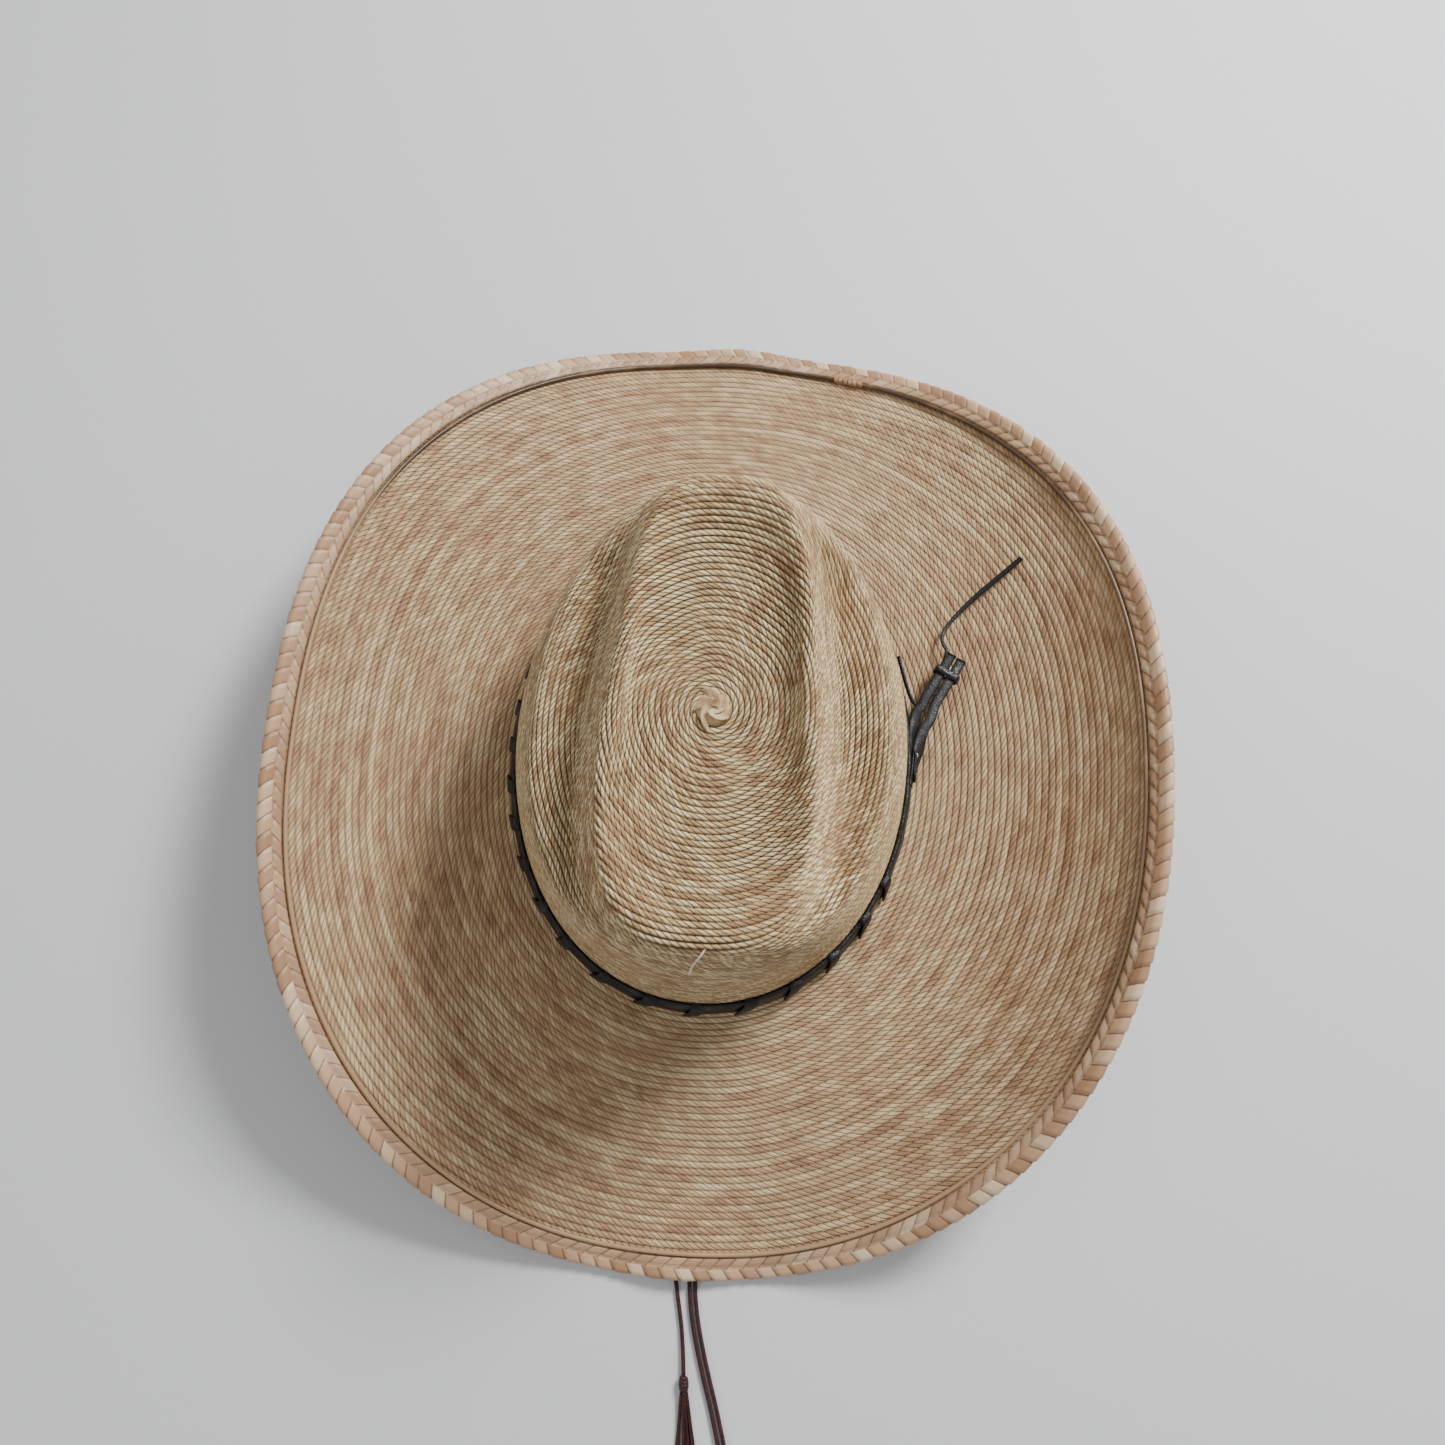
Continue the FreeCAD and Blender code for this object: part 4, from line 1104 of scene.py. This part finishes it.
def beside(route, distance):
    """A route that keeps its distance from another."""
    moved = []
    last = len(route) - 1
    for k, (x, y, raised) in enumerate(route):
        before, after = route[max(k - 1, 0)], route[min(k + 1, last)]
        run, fall = after[0] - before[0], after[1] - before[1]
        size = math.hypot(run, fall)
        moved.append((x + fall / size * distance, y - run / size * distance, raised))
    return moved


def anchor_heading(side):
    heading = np.array([-0.40 * side, -0.45, -0.80])
    return heading / np.linalg.norm(heading)


def anchor_top(side):
    """Upper end of the knot that ties the cord to its tab, a little inside the tab."""
    low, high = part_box("chin_tab_right" if side > 0 else "chin_tab_left")
    face = (low.x if side > 0 else high.x) / mm
    return np.array([face - side * (knot_height / 2 + 0.9), -6.0, low.z / mm + 4.4])


def cord_way(side, route, shift):
    heading = anchor_heading(side)
    sideways = np.cross(heading, (0, 0, 1))
    sideways /= np.linalg.norm(sideways)
    start = anchor_top(side) + heading * anchor_length + sideways * shift
    points = [start, start + heading * 9.0]
    points += [np.array([x, y, cord_diameter / 2 + 0.05 + raised]) for x, y, raised in route]
    return even_steps(flowing_line(points), 0.55)


def line_frames(way):
    heading = np.gradient(way, axis=0)
    heading /= np.linalg.norm(heading, axis=1, keepdims=True)
    side = np.cross(heading, (0, 0, 1))
    side /= np.linalg.norm(side, axis=1, keepdims=True)
    return heading, side, np.cross(side, heading)


def braid(way, diameter):
    """Strands that cross over and under each other along the way."""
    _, side, up = line_frames(way)
    place = np.arange(len(way)) * np.linalg.norm(way[1] - way[0]) / braid_twist * 2 * np.pi
    parts = []
    for k in range(braid_strands):
        turn = place + 2 * np.pi * k / braid_strands
        across = 0.26 * diameter * np.sin(turn)
        rise = 0.19 * diameter * np.sin(2 * turn + 0.5)
        line = way + side * across[:, None] + up * rise[:, None]
        parts.append(leaf_blade(line, 0.50 * diameter, 0.46 * diameter, (0, 0, 1)))
    return gather(parts)


def cord_thread(name, dark, light):
    """Twisted, slightly glossy thread, lighter where it is fluffed."""
    material, tree, shader = new_material(name)
    where = position(tree)
    tone = spread(tree, noise(tree, where, 700.0, 3.0), 0.35, 0.70)
    tree.links.new(colour_mix(tree, tone, dark, light), shader.inputs["Base Color"])
    add_bump(tree, shader, noise(tree, where, 2600.0, 2.0), 0.0002, 0.7)
    shader.inputs["Roughness"].default_value = 0.55
    shader.inputs["Sheen Weight"].default_value = 0.06
    return material


cord_red = cord_thread("chin cord thread", (0.014, 0.0012, 0.0010), (0.070, 0.0050, 0.0035))


def wound_knot(foot, heading, length, width, height, turns):
    """A knot: cord wound tightly round itself, over a core."""
    side = np.cross(heading, (0, 0, 1))
    side /= np.linalg.norm(side)
    up = np.cross(side, heading)
    share = np.linspace(0, 1, 26 * turns)
    turn = share * turns * 2 * np.pi
    swell = 0.62 + 0.38 * np.sin(np.pi * share)
    thread = length / turns * 1.1
    across = (width - thread) / 2 * swell * np.cos(turn)
    rise = (height - thread) / 2 * swell * np.sin(turn)
    along = thread / 2 + (length - thread) * share
    line = foot + np.outer(across, side) + np.outer(rise, up) + np.outer(along, heading)
    facing = np.outer(across, side) + np.outer(rise, up)
    core_line = foot + np.outer(np.linspace(0.02, 0.98, 12) * length, heading)
    core_width = (width - thread) * (0.62 + 0.38 * np.sin(np.pi * np.linspace(0.02, 0.98, 12)))
    core = leaf_blade(core_line, core_width, core_width * (height / width), up)
    return gather([core, leaf_blade(line, thread * 0.95, thread * 0.8, facing)])


def tassel(foot, heading, spread_to, seed):
    """Loose threads that fan out and lie on the surface."""
    random = np.random.default_rng(seed)
    across = np.array([heading[1], -heading[0], 0.0])
    parts = []
    count = 16
    for k in range(count):
        place = (k + 0.5) / count * 2 - 1
        length = tassel_length * random.uniform(0.80, 1.0)
        wander = random.uniform(-0.8, 0.8, 2)
        layer = 0.30 + 0.42 * (k % 3)
        points = []
        for part in np.linspace(0, 1, 9):
            slide = place * mix(1.5, spread_to, part) + wander[0] * math.sin(3.0 * part)
            slide += wander[1] * math.sin(7.0 * part) * part
            drop = mix(knot_height / 2, layer, smooth_step(0.0, 0.35, part)) - foot[2]
            points.append(foot + heading * length * part + across * slide + np.array([0, 0, drop]))
        parts.append(leaf_blade(smooth_way(points, 3), 0.62, 0.55, (0, 0, 1)))
    return gather(parts)


def end_heading(route):
    way = np.array([route[-1][0] - route[-2][0], route[-1][1] - route[-2][1], 0.0])
    return way / np.linalg.norm(way)


def cord_end(side, route, width, spread_to, seed, ways):
    """Everything on one side: the anchor knot, its cords, the end knot and the tassel."""
    where = "right" if side > 0 else "left"
    heading = end_heading(route)
    foot = np.array([*route[-1][:2], knot_height / 2 + 0.05])
    anchor = wound_knot(anchor_top(side), anchor_heading(side), anchor_length, width, knot_height, 3)
    bight = anchor_top(side) + np.outer(np.linspace(-0.5, 5.0, 8), (side, 0, 0)) + np.array([0, 0, -1.2])
    loop = leaf_blade(bight, 2.3, 2.2, (0, 0, 1))
    anchor = make_piece(f"anchor_{where}", *gather([anchor, loop]), cord_red)
    settle(anchor, "chin_cord", f"chin_anchor_{where}")
    winding = wound_knot(foot, heading, knot_length, width, knot_height, 4)
    knot = make_piece(f"end_knot_{where}", *winding, cord_red)
    settle(knot, "chin_cord", f"chin_knot_{where}")
    fan = tassel(foot + heading * (knot_length - 0.5), heading, spread_to, seed)
    threads = make_piece(f"tassel_{where}", *fan, cord_red)
    settle(threads, "chin_cord", f"chin_tassel_{where}")
    for node, way in ways.items():
        piece = make_piece(node + "_braid", *braid(way, cord_diameter), cord_red)
        settle(piece, "chin_cord", node)


half_pair = pair_spacing / 2
left_ways = {"chin_cord_left": cord_way(-1, left_route, 0.0)}
right_ways = {
    "chin_cord_right": cord_way(1, beside(outer_route, -half_pair), -half_pair),
    "chin_cord_right_return": cord_way(1, beside(outer_route, half_pair), half_pair),
}
cord_end(-1, left_route, width=knot_width, spread_to=5.0, seed=3, ways=left_ways)
cord_end(1, outer_route, width=knot_width + pair_spacing, spread_to=6.0, seed=4, ways=right_ways)

# ---------------------------------------------------------------- floor, light and camera
# A pale floor under the hat, one broad soft lamp high on the front right, a weak fill from the
# left and a pale sky. The camera looks down at the hat from behind its middle.
def add_floor():
    bpy.ops.mesh.primitive_plane_add(size=6.0, location=(0, 0, -0.0003))
    floor = bpy.context.object
    floor.name = "floor"
    material, tree, shader = new_material("pale floor")
    tone = noise(tree, position(tree), 3.0, 2.0)
    colour = colour_mix(tree, tone, (0.72, 0.73, 0.745), (0.77, 0.78, 0.79))
    tree.links.new(colour, shader.inputs["Base Color"])
    shader.inputs["Roughness"].default_value = 0.7
    floor.data.materials.append(material)


def add_lamp(name, place, aim, size, power):
    lamp = bpy.data.lights.new(name, "AREA")
    lamp.size = size
    lamp.energy = power
    holder = bpy.data.objects.new(name, lamp)
    bpy.context.scene.collection.objects.link(holder)
    holder.location = place
    holder.rotation_euler = (Vector(aim) - Vector(place)).to_track_quat("-Z", "Y").to_euler()


add_floor()
lamp_aim = (0, 0, 0.05)
add_lamp("main_lamp", (0.80, 0.95, 1.15), lamp_aim, size=0.45, power=38.0)
add_lamp("fill_lamp", (-1.1, -0.5, 1.3), lamp_aim, size=1.2, power=2.5)
world = bpy.data.worlds.new("pale sky")
world.use_nodes = True
world.node_tree.nodes["Background"].inputs["Color"].default_value = (0.97, 0.98, 1.0, 1)
world.node_tree.nodes["Background"].inputs["Strength"].default_value = 0.46
bpy.context.scene.world = world

camera_place = Vector((0.0061, -0.1025, 0.5214))
camera_aim = Vector((0.0032, 0.0240, 0.0))
camera_roll = math.radians(2.62)
camera_data = bpy.data.cameras.new("camera")
camera_data.lens = 28.66
camera_data.sensor_width = 36.0
camera_data.clip_start = 0.02
camera = bpy.data.objects.new("camera", camera_data)
bpy.context.scene.collection.objects.link(camera)
view_turn = (camera_aim - camera_place).to_track_quat("-Z", "Y").to_matrix().to_4x4()
camera.matrix_world = Matrix.Translation(camera_place) @ view_turn @ Matrix.Rotation(camera_roll, 4, "Z")
bpy.context.scene.camera = camera
